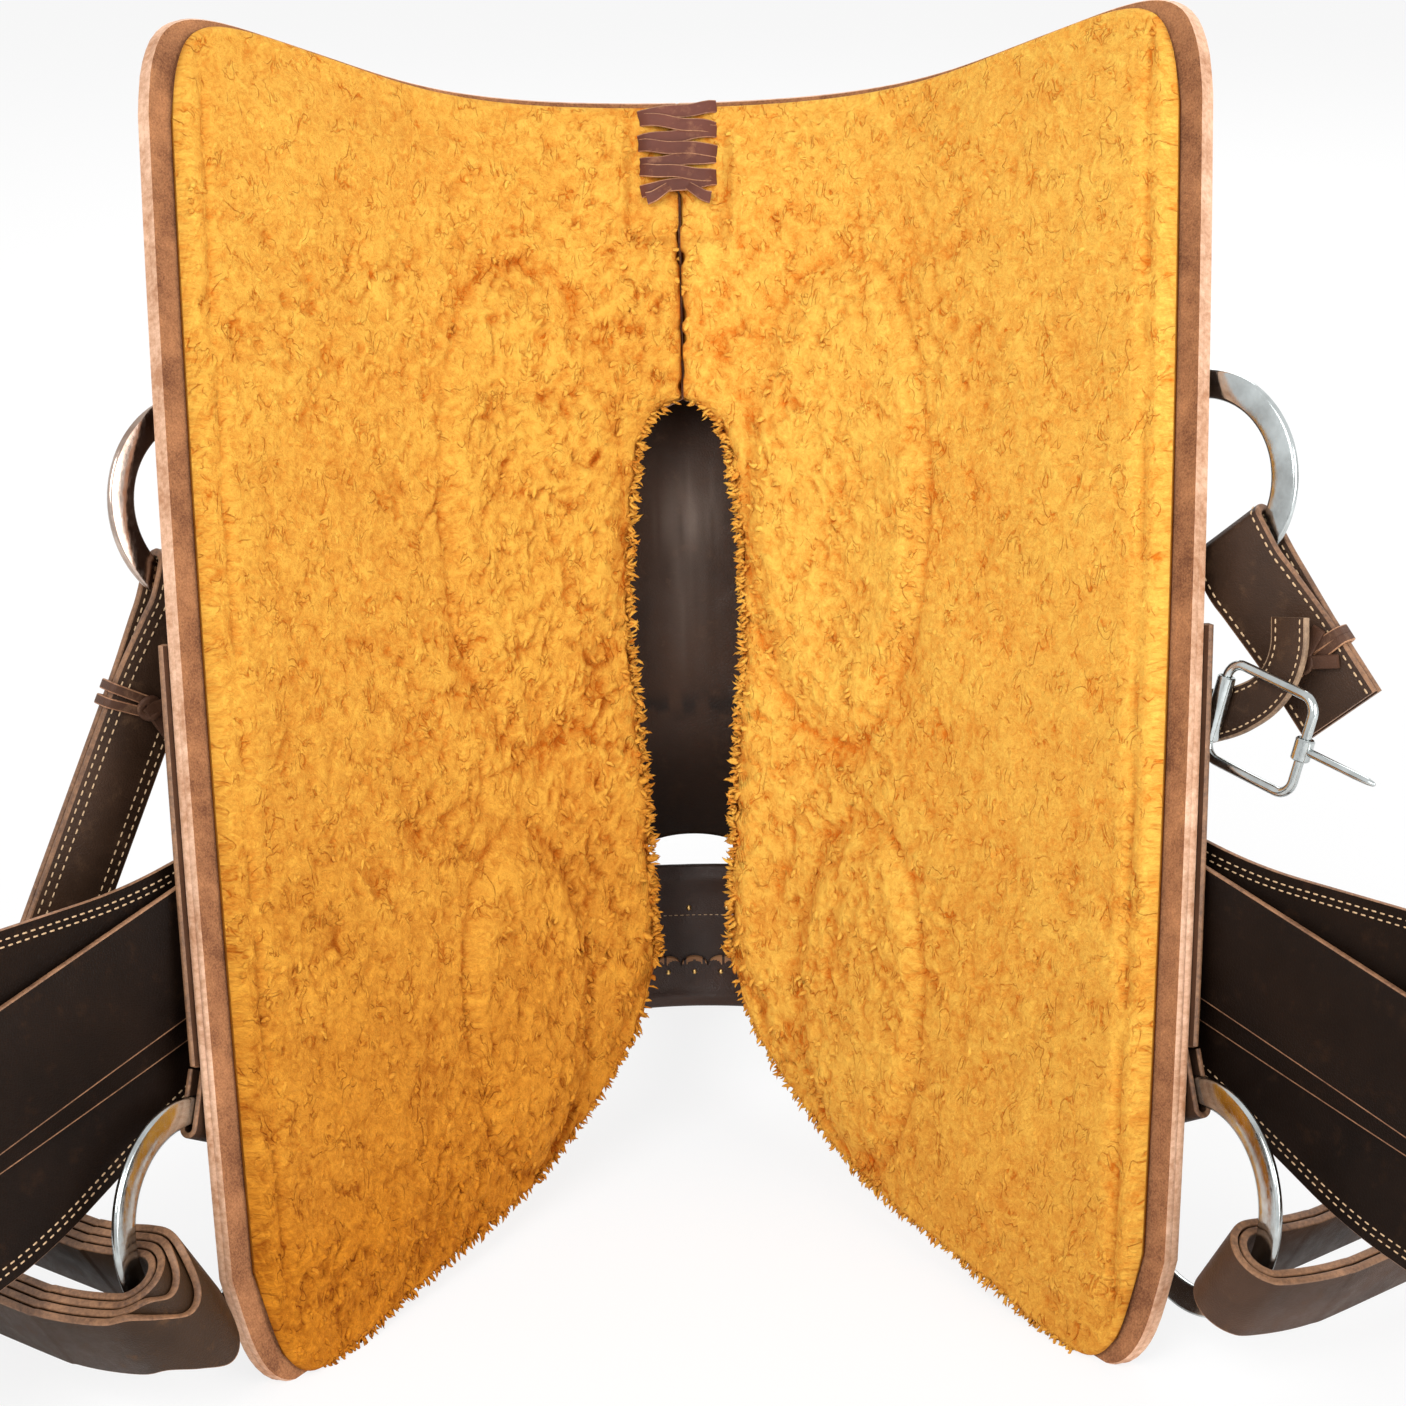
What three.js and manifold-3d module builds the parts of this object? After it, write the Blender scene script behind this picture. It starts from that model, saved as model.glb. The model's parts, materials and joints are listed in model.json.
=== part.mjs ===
// A western riding saddle that stands on its nose, with its fleece-lined underside to the front.
// Saddle directions used throughout: u runs to the rider's right, f runs forward to the horse's head,
// and w runs up from the horse. In three.js axes a point is (u, w, -f), so the cantle ends up on top.
// The whole saddle then leans back until the skirt tips and the horn cap rest on the ground.
// All lengths are millimetres and all angles are degrees.
import * as THREE from "three";
import { mergeVertices } from "three/addons/utils/BufferGeometryUtils.js";
import Module from "manifold-3d";

const wasm = await Module();
wasm.setup();

const DEGREE = Math.PI / 180;
const touchGap = 0.3;
const cutOverrun = 6;

// The horse's back, to which the skirts are blocked: a round spine with a straight slope on each side
const stationReach = 355;
const spineRadiusRear = 240;
const spineRadiusMiddle = 165;
const spineRadiusFront = 105;
const sideSlopeRear = 44;
const sideSlopeMiddle = 48;
const sideSlopeFront = 52;
const spineHeight = 245;
const spineDip = 20;

// Skirts, their inner leather layer and their fleece
const skirtDrop = 352;
const rearReach = 362;
const frontReach = 360;
const seamHalfGap = 0.8;
const slotHalfWidth = 38;
const plugThickness = 4.5;
const skirtThickness = 5;
const fleecePile = 15;
const padBulge = 6;
const woolGap = 1.2;
const rimInset = 17;
const edgeInset = 5;
const rimPile = 8;
const rimSteepness = 14;
const rearPad = { arc: 100, f: -125, halfArc: 58, halfLength: 140 };
const frontPad = { arc: 122, f: 168, halfArc: 50, halfLength: 98 };
const skirtTop = plugThickness + 2 * touchGap + skirtThickness;

// Rear lacing
const lacingHalfWidth = 23;
const lacingRear = 357;
const lacingFront = 305;
const laceWidth = 5.6;
const laceThickness = 2.4;
const laceRows = 7;

// Tree
const barInnerArc = 48;
const barRearReach = 292;
const barFrontReach = 262;
const barEdge = 5;
const barCrown = 17;
const barOuterRear = 172;
const barOuterWaist = 116;
const barOuterFront = 196;
const barSpread = 12;

// Fork, its leather, and the horn
const forkRear = 100;
const forkFront = 184;
const forkHeight = 118;
const forkEdge = 8;
const archHalf = 60;
const gulletRise = 60;
const swellLeather = 4;
const gulletLeather = 3;
const trimLeather = 2.5;
const trimWidth = 22;
const scallopDepth = 6;
const hornLean = 9;
const hornHeight = 92;
const hornNeckRadius = 24;
const hornPostRadius = 14;
const hornCapRadius = 38;
const hornCapThickness = 14;

// Seat and cantle
const groundThickness = 5;
const groundFront = 78;
const groundNotch = 12;
const groundLap = 8;
const seatThickness = 7;
const seatFront = 96;
const seatNotch = 19;
const cantleRear = 222;
const cantleFlankForward = 72;
const cantleHalfArc = 172;
const cantleHeight = 100;
const cantleRun = 62;
const cantleEdge = 5;
const frontRise = 26;
const frontRiseRun = 80;
const seatSide = 205;
const leatherStack = 17;
const cantleBackThickness = 4;
const rollWidth = 30;
const rollThickness = 13;

// Jockeys and rigging plates
const jockeyThickness = 4;
const layerGap = 0.9;
const jockeyOuterArc = 240;
const jockeyFront = 250;
const jockeyRear = 300;
const jockeyClear = 4;
const plateArc = 285;
const plateRear = 36;
const plateFront = 186;
const plateThickness = 4;
const plateOverhang = 3;

// Rings and the folded leather that carries them
const ringBand = 16;
const ringThickness = 4.5;
const frontRingRadius = 64;
const rearRingRadius = 60;
const ringSegments = 32;
const hangerLeather = 3;
const hangerWidth = 30;
const hangerTail = 24;
const frontTail = 12;
const bendSlack = 3;
const frontRingArc = 335;
const frontRingForward = 204;
const frontRingRoll = 9;
const frontRingSplay = 14;
const rearRingArc = 339;
const nearRingInset = 26;
const rearRingForward = -115;
const rearRingRoll = -4;
const strapWidth = 45;
const strapThickness = 4.3;

// Long cinch straps, wound through the front rings
const coilBendLength = 60;
const coilStartAngle = 86;
const coilEndAngle = 103;
const coilAround = 31;
const coilSlant = 26;
const latigoTurns = 4;
const coilPlay = 0.75;
const latigoReach = 150;
const billetTurns = 2;
const billetReach = 110;
const gapSteps = 6;

// Flank billets with their laces, and the flank strap with its roller buckle
const flankWidth = 45;
const flankLength = 300;
const flankAround = 16;
const flankClimb = 14;
const offFlankWidth = 50;
const offFlankLength = 96;
const offFlankAround = 30;
const offFlankClimb = 10;
const plyGap = 0.6;
const foldTuck = 4.4;
const foldPlay = 3;
const laceBand = 12;
const laceTailTurns = [-25, 30];
const keeperPlace = 62;
const flankStrapWidth = 32;
const buckleArc = 352;
const buckleForward = 8;
const buckleLift = 24;
const buckleTurn = 22;
const buckleLength = 60;
const buckleHeight = 54;
const buckleWire = 2.75;
const buckleCorner = 9;
const rollerRadius = 5;
const rollerLength = 36;
const tongueLength = 44;
const tongueRadius = 2.2;

// Fenders, stirrup leathers and stirrups
const fenderForward = 87;
const fenderSwing = 25;
const fenderClear = 12;
const fenderThickness = 3.6;
const fenderLength = 500;
const fenderHalfWidth = 60;
const fenderTopHalfWidth = 52;
const leatherWidth = 66;
const leatherThickness = 4;
const leatherStep = 13;
const hobbleAbove = 13;
const hobbleWidth = 22;
const hobbleThickness = 3;
const wrapReach = 6;
const stirrupBelow = 61;
const stirrupHeight = 165;
const stirrupHalfTop = 46;
const stirrupHalfTread = 72;
const stirrupTread = 58;
const stirrupBar = 13;
const boltRadius = 7;
const boltHead = 4;
const boltSpread = 55;

// Colours
const woolColour = 0xe8962c;
const leatherColour = 0x3a2118;
const fleshColour = 0x7a4a2c;
const laceColour = 0x43231c;
const woodColour = 0xa88458;
const steelColour = 0xc9ccd0;

const leather = new THREE.MeshStandardMaterial({ color: leatherColour, roughness: 0.5, metalness: 0 });
const flesh = new THREE.MeshStandardMaterial({ color: fleshColour, roughness: 0.8, metalness: 0 });
const lace = new THREE.MeshStandardMaterial({ color: laceColour, roughness: 0.45, metalness: 0 });
const wool = new THREE.MeshStandardMaterial({ color: woolColour, roughness: 1, metalness: 0 });
const wood = new THREE.MeshStandardMaterial({ color: woodColour, roughness: 0.7, metalness: 0 });
const steel = new THREE.MeshStandardMaterial({ color: steelColour, roughness: 0.15, metalness: 1 });

const saddle = new THREE.Group();

// Adds one named piece to the group that carries it.
function add(name, geometry, material, carrier = saddle) {
  const mesh = new THREE.Mesh(geometry, material.clone());
  mesh.name = name;
  carrier.add(mesh);
  return mesh;
}

// Builds a closed body from points and triangles, and turns its faces outward by the sign of its volume.
function closedBody(points, triangles) {
  let volume = 0;
  for (const [a, b, c] of triangles) {
    volume += points[a].dot(new THREE.Vector3().crossVectors(points[b], points[c]));
  }
  const order = volume < 0 ? triangles.map(([a, b, c]) => [a, c, b]) : triangles;
  const geometry = new THREE.BufferGeometry();
  const coordinates = points.flatMap((point) => point.toArray());
  geometry.setAttribute("position", new THREE.Float32BufferAttribute(coordinates, 3));
  geometry.setIndex(order.flat());
  return geometry;
}

function evenShares(count) {
  return Array.from({ length: count + 1 }, (_, index) => index / count);
}

// A closed sheet between two surfaces, each given by a function of two shares from 0 to 1.
function sheet(under, over, columnShares, rowShares) {
  const columns = columnShares.length;
  const rows = rowShares.length;
  const points = [];
  for (const surface of [under, over]) {
    for (const row of rowShares) {
      for (const column of columnShares) points.push(surface(column, row));
    }
  }
  const layer = columns * rows;
  const triangles = [];
  const quad = (a, b, c, d) => triangles.push([a, b, c], [a, c, d]);
  for (let row = 0; row < rows - 1; row += 1) {
    for (let column = 0; column < columns - 1; column += 1) {
      const corner = row * columns + column;
      quad(corner, corner + columns, corner + columns + 1, corner + 1);
      quad(corner + layer, corner + layer + 1, corner + layer + columns + 1, corner + layer + columns);
    }
  }
  for (let column = 0; column < columns - 1; column += 1) {
    const last = (rows - 1) * columns + column;
    quad(column, column + 1, column + 1 + layer, column + layer);
    quad(last + 1, last, last + layer, last + 1 + layer);
  }
  for (let row = 0; row < rows - 1; row += 1) {
    const first = row * columns;
    const last = first + columns - 1;
    quad(first + columns, first, first + layer, first + columns + layer);
    quad(last, last + columns, last + columns + layer, last + layer);
  }
  return closedBody(points, triangles);
}

// A closed body through a row of sections with the same number of corners. A loop has no end faces.
function loft(sections, loop = false) {
  const count = sections[0].length;
  const points = sections.flat();
  const triangles = [];
  const steps = loop ? sections.length : sections.length - 1;
  for (let step = 0; step < steps; step += 1) {
    const next = (step + 1) % sections.length;
    for (let corner = 0; corner < count; corner += 1) {
      const after = (corner + 1) % count;
      const a = step * count + corner;
      const b = step * count + after;
      const c = next * count + after;
      const d = next * count + corner;
      triangles.push([a, b, c], [a, c, d]);
    }
  }
  if (!loop) {
    const last = (sections.length - 1) * count;
    for (let corner = 1; corner < count - 1; corner += 1) {
      triangles.push([0, corner + 1, corner], [last, last + corner, last + corner + 1]);
    }
  }
  return closedBody(points, triangles);
}

// A flat strap along a path that stays square to its width. Skew slides it sideways along the path.
function strap(path, widthAxis, widthAt, thickness, skewAt = () => 0) {
  const sections = path.map((point, index) => {
    const share = index / (path.length - 1);
    const before = path[Math.max(index - 1, 0)];
    const after = path[Math.min(index + 1, path.length - 1)];
    const heading = after.clone().sub(before).normalize();
    const face = new THREE.Vector3().crossVectors(widthAxis, heading).normalize();
    const corner = (wide, thick) => point.clone()
      .addScaledVector(widthAxis, wide * widthAt(share) / 2 + skewAt(share))
      .addScaledVector(face, thick * thickness / 2);
    return [corner(-1, -1), corner(1, -1), corner(1, 1), corner(-1, 1)];
  });
  return loft(sections);
}

// The points of an arc in the plane of two axes, from one angle to another.
function arcPath(centre, first, second, radius, from, to, steps) {
  return evenShares(steps).map((share) => {
    const angle = (from + (to - from) * share) * DEGREE;
    return centre.clone()
      .addScaledVector(first, radius * Math.cos(angle))
      .addScaledVector(second, radius * Math.sin(angle));
  });
}

function solid(geometry) {
  const plain = geometry.clone();
  plain.deleteAttribute("normal");
  plain.deleteAttribute("uv");
  const merged = mergeVertices(plain);
  const numProp = 3;
  const vertProperties = new Float32Array(merged.attributes.position.array);
  const triVerts = new Uint32Array(merged.index.array);
  return new wasm.Manifold(new wasm.Mesh({ numProp, vertProperties, triVerts }));
}

function fromSolid(body) {
  const mesh = body.getMesh();
  const geometry = new THREE.BufferGeometry();
  geometry.setAttribute("position", new THREE.BufferAttribute(new Float32Array(mesh.vertProperties), 3));
  geometry.setIndex(new THREE.BufferAttribute(new Uint32Array(mesh.triVerts), 1));
  return geometry;
}

function smooth(share) {
  const held = Math.min(Math.max(share, 0), 1);
  return held * held * (3 - 2 * held);
}

// Reads a table of pairs at one place, straight between its rows.
function follow(table, place) {
  if (place <= table[0][0]) return table[0][1];
  for (let row = 1; row < table.length; row += 1) {
    const [end, high] = table[row];
    const [start, low] = table[row - 1];
    if (place <= end) return low + (high - low) * (place - start) / (end - start);
  }
  return table[table.length - 1][1];
}

// A size that changes smoothly from the rear to the front of the saddle.
function fromRearToFront(rear, middle, front, f) {
  const share = f / stationReach;
  return middle + (front - rear) / 2 * share + ((front + rear) / 2 - middle) * share * share;
}

function sideSlope(f) {
  return fromRearToFront(sideSlopeRear, sideSlopeMiddle, sideSlopeFront, f) * DEGREE;
}

// A point over the horse's back: arc is measured round it from the spine, and lift squarely off it.
function backPoint(arc, f, lift) {
  const radius = fromRearToFront(spineRadiusRear, spineRadiusMiddle, spineRadiusFront, f);
  const bend = Math.min(Math.abs(arc) / radius, sideSlope(f));
  const straight = Math.abs(arc) - bend * radius;
  const out = (radius + lift) * Math.sin(bend) + straight * Math.cos(bend);
  const ridge = spineHeight + spineDip * (f / stationReach) ** 2;
  const up = ridge - radius + (radius + lift) * Math.cos(bend) - straight * Math.sin(bend);
  return new THREE.Vector3(Math.sign(arc) * out, up, -f);
}

// A sheet that lies over the horse's back: place turns two shares into an arc and a forward distance.
function layer(place, under, over, columnShares, rowShares) {
  const surface = (lift) => (column, row) => {
    const { arc, f } = place(column, row);
    return backPoint(arc, f, lift(arc, f, column, row));
  };
  return sheet(surface(under), surface(over), columnShares, rowShares);
}

const sides = [["left", -1], ["right", 1]];

// The skirt's outline. Each pair is a share of the way out from the opening and a share of a reach.
const rearEdgeShares = [[0, 0.994], [0.31, 0.994], [0.5, 1.008], [0.7, 1.039], [0.886, 1.066],
  [0.963, 1.044], [1, 0.936]];
const frontEdgeShares = [[0, 0.417], [0.024, 0.492], [0.039, 0.533], [0.115, 0.639], [0.23, 0.739],
  [0.373, 0.808], [0.509, 0.856], [0.69, 0.925], [0.812, 0.978], [0.903, 1], [0.964, 0.95], [1, 0.83]];
const openingShares = [[-0.503, 0], [-0.49, 0.35], [-0.453, 0.68], [-0.333, 0.87], [-0.172, 0.95],
  [-0.056, 0.92], [0.056, 0.79], [0.128, 0.74], [0.278, 0.66], [0.38, 0.63], [0.417, 0.58]];
const skirtColumnShares = [0, 0.03, 0.08, 0.14, 0.21, 0.28, 0.35, 0.42, 0.5, 0.7, 0.93, 0.97, 1];
const skirtRowShares = [0, 0.12, 0.24, 0.34, 0.365, 0.385, 0.43, 0.52, 0.63, 0.75, 0.87, 0.96, 1];
const woolColumnShares = [0, 0.02, 0.05, 0.09, 0.14, 0.2, 0.27, 0.34, 0.42, 0.5, 0.6, 0.7, 0.8, 0.9,
  0.95, 1];
const woolRowShares = [0, 0.04, 0.12, 0.22, 0.31, 0.35, 0.365, 0.385, 0.42, 0.5, 0.6, 0.7, 0.8, 0.88,
  0.96, 1];

function openingHalfWidth(f) {
  return Math.max(seamHalfGap, slotHalfWidth * follow(openingShares, f / frontReach));
}

function skirtPlace(side, sideInset, endInset) {
  return (column, row) => {
    const rear = endInset - rearReach * follow(rearEdgeShares, column);
    const front = frontReach * follow(frontEdgeShares, column) - endInset;
    const f = rear + (front - rear) * row;
    const inner = openingHalfWidth(f);
    return { arc: side * (inner + (skirtDrop - sideInset - inner) * column), f };
  };
}

// How far out the skirt's front edge lies at a forward distance
function frontEdgeArc(f) {
  const swapped = frontEdgeShares.slice(0, -2).map(([out, reach]) => [reach, out]);
  const inner = openingHalfWidth(frontReach);
  return inner + (skirtDrop - inner) * follow(swapped, f / frontReach);
}

// The pile is shorter along the edges and under the lacing, and swells where it covers the bars' pads.

function padSwell(arc, f) {
  let swell = 0;
  for (const pad of [rearPad, frontPad]) {
    const away = Math.hypot((Math.abs(arc) - pad.arc) / pad.halfArc, (f - pad.f) / pad.halfLength);
    swell = Math.max(swell, padBulge * smooth((1 - away) * 2));
  }
  return swell;
}

function fleeceLift(arc, f, column, row) {
  const rim = Math.min((1 - column) * rimSteepness, row * rimSteepness, (1 - row) * rimSteepness, 1);
  const underLacing = Math.abs(arc) < lacingHalfWidth * 1.5 && f < -lacingFront + 6 * edgeInset;
  const pile = underLacing ? rimPile : rimPile + (fleecePile - rimPile) * smooth(rim);
  return -woolGap - pile - padSwell(arc, f);
}

for (const [name, side] of sides) {
  const edge = skirtPlace(side, 0, 0);
  const over = skirtTop - skirtThickness;
  const lining = layer(edge, () => 0, () => plugThickness, skirtColumnShares, skirtRowShares);
  const skirt = layer(edge, () => over, () => skirtTop, skirtColumnShares, skirtRowShares);
  const inside = skirtPlace(side, rimInset, edgeInset);
  const fleece = layer(inside, fleeceLift, () => -woolGap, woolColumnShares, woolRowShares);
  add(`skirt_lining_${name}`, lining, flesh);
  add(`skirt_${name}`, skirt, leather);
  add(`fleece_${name}`, fleece, wool);
}

// Rear lacing: one flat lace that zigzags across the seam under the wool
const lacePitch = (lacingRear - lacingFront) / laceRows;
{
  const middle = -(lacingRear + lacingFront) / 2;
  const start = backPoint(0, -lacingRear, -rimPile);
  const finish = backPoint(0, -lacingFront, -rimPile);
  const fall = Math.atan2(start.y - finish.y, lacingRear - lacingFront);
  let body = null;
  const join = (width, depth, x, z) => {
    const block = new THREE.BoxGeometry(width, laceThickness, depth);
    block.translate(x, 0, z);
    body = body ? body.add(solid(block)) : solid(block);
  };
  for (let row = 0; row < laceRows; row += 1) {
    const z = (laceRows / 2 - row - 0.5) * lacePitch;
    join(2 * lacingHalfWidth, laceWidth, 0, z);
    const turn = row % 2 ? -1 : 1;
    const x = turn * (lacingHalfWidth - laceWidth / 2);
    if (row < laceRows - 1) join(laceWidth, lacePitch + laceWidth / 2, x, z - lacePitch / 2);
  }
  const lacing = add("rear_lacing", fromSolid(body), lace);
  const sag = lacingHalfWidth ** 2 / (2 * spineRadiusRear);
  lacing.position.copy(backPoint(0, middle, -2 * layerGap - rimPile - sag - laceThickness / 2));
  lacing.rotation.x = -fall;
}

// Tree bars: two wooden bars that carry the saddle on each side of the spine
const barBase = skirtTop + woolGap;
const barTop = barBase + barEdge + barCrown;

function barOuter(f) {
  return fromRearToFront(barOuterRear, barOuterWaist, barOuterFront, f);
}

function barInner(f) {
  return Math.max(barInnerArc, frontEdgeArc(f) + barSpread);
}

function barLift(arc, f) {
  const share = (Math.abs(arc) - barInner(f)) / (barOuter(f) - barInner(f));
  return barBase + barEdge + barCrown * Math.sin(Math.PI * Math.min(Math.max(share, 0), 1));
}

// The height that anything laid over the bars keeps to: level to the bar's crown, then down its outside
function overBars(arc, f) {
  const crown = (barInner(f) + barOuter(f)) / 2;
  if (Math.abs(arc) <= crown) return barTop;
  const beyond = Math.abs(arc) - barOuter(f) - layerGap;
  if (beyond < 0) return barLift(arc, f) + layerGap;
  return barBase + (barEdge + layerGap) * (1 - smooth(beyond / (3 * barEdge)));
}

const barRowShares = [0, 0.03, 0.1, 0.22, 0.35, 0.48, 0.6, 0.72, 0.8, 0.86, 0.91, 0.955, 1];
for (const [name, side] of sides) {
  const place = (column, row) => {
    const f = -barRearReach + (barRearReach + barFrontReach) * row;
    const round = Math.sqrt(1 - Math.abs(2 * row - 1) ** 8 * 0.75);
    const middle = (barInner(f) + barOuter(f)) / 2;
    return { arc: side * (middle + (column - 0.5) * round * (barOuter(f) - barInner(f))), f };
  };
  const bar = layer(place, () => barBase, barLift, evenShares(7), barRowShares);
  add(`tree_bar_${name}`, bar, wood);
}

// Ground seat: the leather-covered plate that bridges the bars under the rider
const groundBase = barTop + 2 * touchGap;

function frontLift(arc, f) {
  const crown = (barInner(f) + barOuter(f)) / 2;
  const across = Math.max(1 - (arc / crown) ** 2, 0);
  return frontRise * smooth((f - seatFront + frontRiseRun) / frontRiseRun) * across;
}
{
  const place = (column, row) => {
    const reach = (f) => (barInner(f) + barOuter(f)) / 2 + groundLap;
    const across = 2 * column - 1;
    const front = groundFront + groundNotch * Math.min((across * 3) ** 2, 1);
    const rear = cantleLine(across * reach(-cantleRear)) + cantleBackThickness;
    const f = rear + (front - rear) * row;
    return { arc: across * reach(f), f };
  };
  const under = (arc, f) => groundBase + frontLift(arc, f);
  const over = (arc, f) => under(arc, f) + groundThickness;
  add("ground_seat", layer(place, under, over, evenShares(12), evenShares(8)), leather);
}

// Cantle: it rises from the ground seat, curves forward at its ends and leans with the rider's back
const seatBase = groundBase + groundThickness + 3 * layerGap;
const sideLift = skirtTop + layerGap + leatherStack;

function cantleLine(arc) {
  const share = Math.min(Math.abs(arc) / cantleHalfArc, 1);
  return -cantleRear + cantleFlankForward * share * share;
}

function cantleRise(arc, f) {
  const share = Math.min(Math.abs(arc) / cantleHalfArc, 1);
  const ahead = Math.min(Math.max((f - cantleLine(arc)) / cantleRun, 0), 1);
  return cantleHeight * Math.sqrt(1 - 0.93 * share * share) * (1 - ahead) ** 1.5;
}

function underSeat(arc, f) {
  const crown = (barInner(f) + barOuter(f)) / 2;
  const start = crown + 2 * groundLap;
  const down = smooth((Math.abs(arc) - start) / (seatSide - start));
  return seatBase + (sideLift - seatBase) * down + frontLift(arc, f);
}

function cantlePlace(column, row) {
  const arc = (2 * column - 1) * cantleHalfArc;
  return { arc, f: cantleLine(arc) + cantleRun * row };
}

const cantleTop = (arc, f) => underSeat(arc, f) + cantleRise(arc, f) + cantleEdge;
const cantleFoot = (arc, f) => underSeat(arc, f) - 2 * layerGap;
add("cantle", layer(cantlePlace, cantleFoot, cantleTop, evenShares(18), evenShares(5)), wood);

// Seat leather: over the ground seat and up the cantle, with its sides down over the fender leathers
function seatUnder(arc, f) {
  const ahead = (f - cantleLine(arc) - cantleRun) / (2 * cantleEdge);
  const beside = (Math.abs(arc) - cantleHalfArc) / (2 * cantleEdge);
  const clear = 1 - smooth(Math.max(ahead, beside) - 0.4);
  return underSeat(arc, f) + cantleRise(arc, f) + (cantleEdge + 5 * layerGap) * clear;
}

function seatOver(arc, f) {
  const steep = cantleRise(arc, f) / cantleHeight;
  return seatUnder(arc, f) + seatThickness * (1 + steep);
}

function seatPlace(column, row) {
  const across = 2 * column - 1;
  const arc = across * seatSide;
  const front = seatFront - seatNotch * (1 - smooth(Math.abs(across) * 4));
  const rear = cantleLine(arc);
  return { arc, f: rear + (front - rear) * row };
}

const seatRowShares = [0, 0.04, 0.08, 0.13, 0.18, 0.22, 0.26, 0.4, 0.6, 0.75, 0.88, 1];
add("seat", layer(seatPlace, seatUnder, seatOver, evenShares(16), seatRowShares), leather);

// Cantle back and the padded binding roll along its top
{
  const face = (behind) => (column, row) => {
    const arc = (2 * column - 1) * cantleHalfArc;
    const f = cantleLine(arc);
    const low = underSeat(arc, f);
    const lift = low + (cantleTop(arc, f) - low) * row;
    const place = backPoint(arc, f, lift);
    place.z += behind;
    return place;
  };
  const inner = layerGap;
  const outer = inner + cantleBackThickness;
  add("cantle_back", sheet(face(inner), face(outer), evenShares(18), evenShares(2)), leather);
  const sections = evenShares(26).map((share) => {
    const arc = (2 * share - 1) * cantleHalfArc;
    const f = cantleLine(arc);
    const taper = 0.45 + 0.55 * Math.sqrt(1 - (2 * share - 1) ** 2);
    const corners = [];
    for (let corner = 0; corner < 8; corner += 1) {
      const turn = corner / 8 * 2 * Math.PI;
      const high = rollThickness / 2 * (1 + Math.sin(turn)) * taper;
      const place = backPoint(arc, f, seatOver(arc, f) + 3 * layerGap + high);
      place.z += rollWidth / 2 * taper * Math.cos(turn) - rollWidth / 6;
      corners.push(place);
    }
    return corners;
  });
  add("cantle_binding", loft(sections), leather);
}

// Fork: the arch over the withers, its leather, the gullet lining and the scalloped trim under it

function forkUnder(arc, f) {
  const rise = gulletRise - groundBase;
  return overBars(arc, f) + 2 * layerGap + rise * smooth(1 - Math.abs(arc) / archHalf);
}

function forkOver(arc, f, column, row) {
  const share = Math.abs(2 * column - 1);
  const dome = Math.sqrt(Math.max(1 - Math.abs(2 * row - 1) ** 4, 0));
  const shoulder = Math.sqrt(Math.max(1 - share ** 3.4, 0));
  const under = forkUnder(arc, f);
  return under + forkEdge + (forkHeight - gulletRise) * shoulder * dome;
}

function forkPlace(column, row) {
  const f = forkRear + (forkFront - forkRear) * row;
  return { arc: (2 * column - 1) * (barOuter(f) - layerGap), f };
}

const forkRowShares = [0, 0.06, 0.16, 0.32, 0.5, 0.68, 0.84, 0.94, 1];
const forkColumnShares = [0, 0.015, 0.05, 0.11, 0.19, 0.27, 0.34, 0.39, 0.44, 0.5, 0.56, 0.61, 0.66, 0.73,
  0.81, 0.89, 0.95, 0.985, 1];
const coverUnder = (...at) => forkOver(...at) + layerGap;
const coverOver = (...at) => forkOver(...at) + layerGap + swellLeather;
add("fork", layer(forkPlace, forkUnder, forkOver, forkColumnShares, forkRowShares), wood);
add("swell_cover", layer(forkPlace, coverUnder, coverOver, forkColumnShares, forkRowShares), leather);

const liningHalf = barInnerArc - 2 * layerGap;
const liningTop = (arc, f) => forkUnder(arc, f) - 2 * layerGap;
const liningBottom = (arc, f) => liningTop(arc, f) - gulletLeather;
{
  const place = (column, row) => {
    return { arc: (2 * column - 1) * liningHalf, f: forkRear + (forkFront - forkRear) * row };
  };
  add("gullet_lining", layer(place, liningBottom, liningTop, evenShares(12), evenShares(4)), leather);
  const scallops = 7;
  const trimPlace = (column, row) => {
    const wave = Math.abs(Math.sin(Math.PI * scallops * column));
    const rear = forkFront - trimWidth - scallopDepth * wave;
    return { arc: (2 * column - 1) * (liningHalf - barEdge), f: rear + (forkFront - rear) * row };
  };
  const top = (arc, f) => liningBottom(arc, f) - touchGap * 2;
  const bottom = (arc, f) => top(arc, f) - trimLeather;
  add("gullet_trim", layer(trimPlace, bottom, top, evenShares(6 * scallops), evenShares(1)), leather);
}

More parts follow.
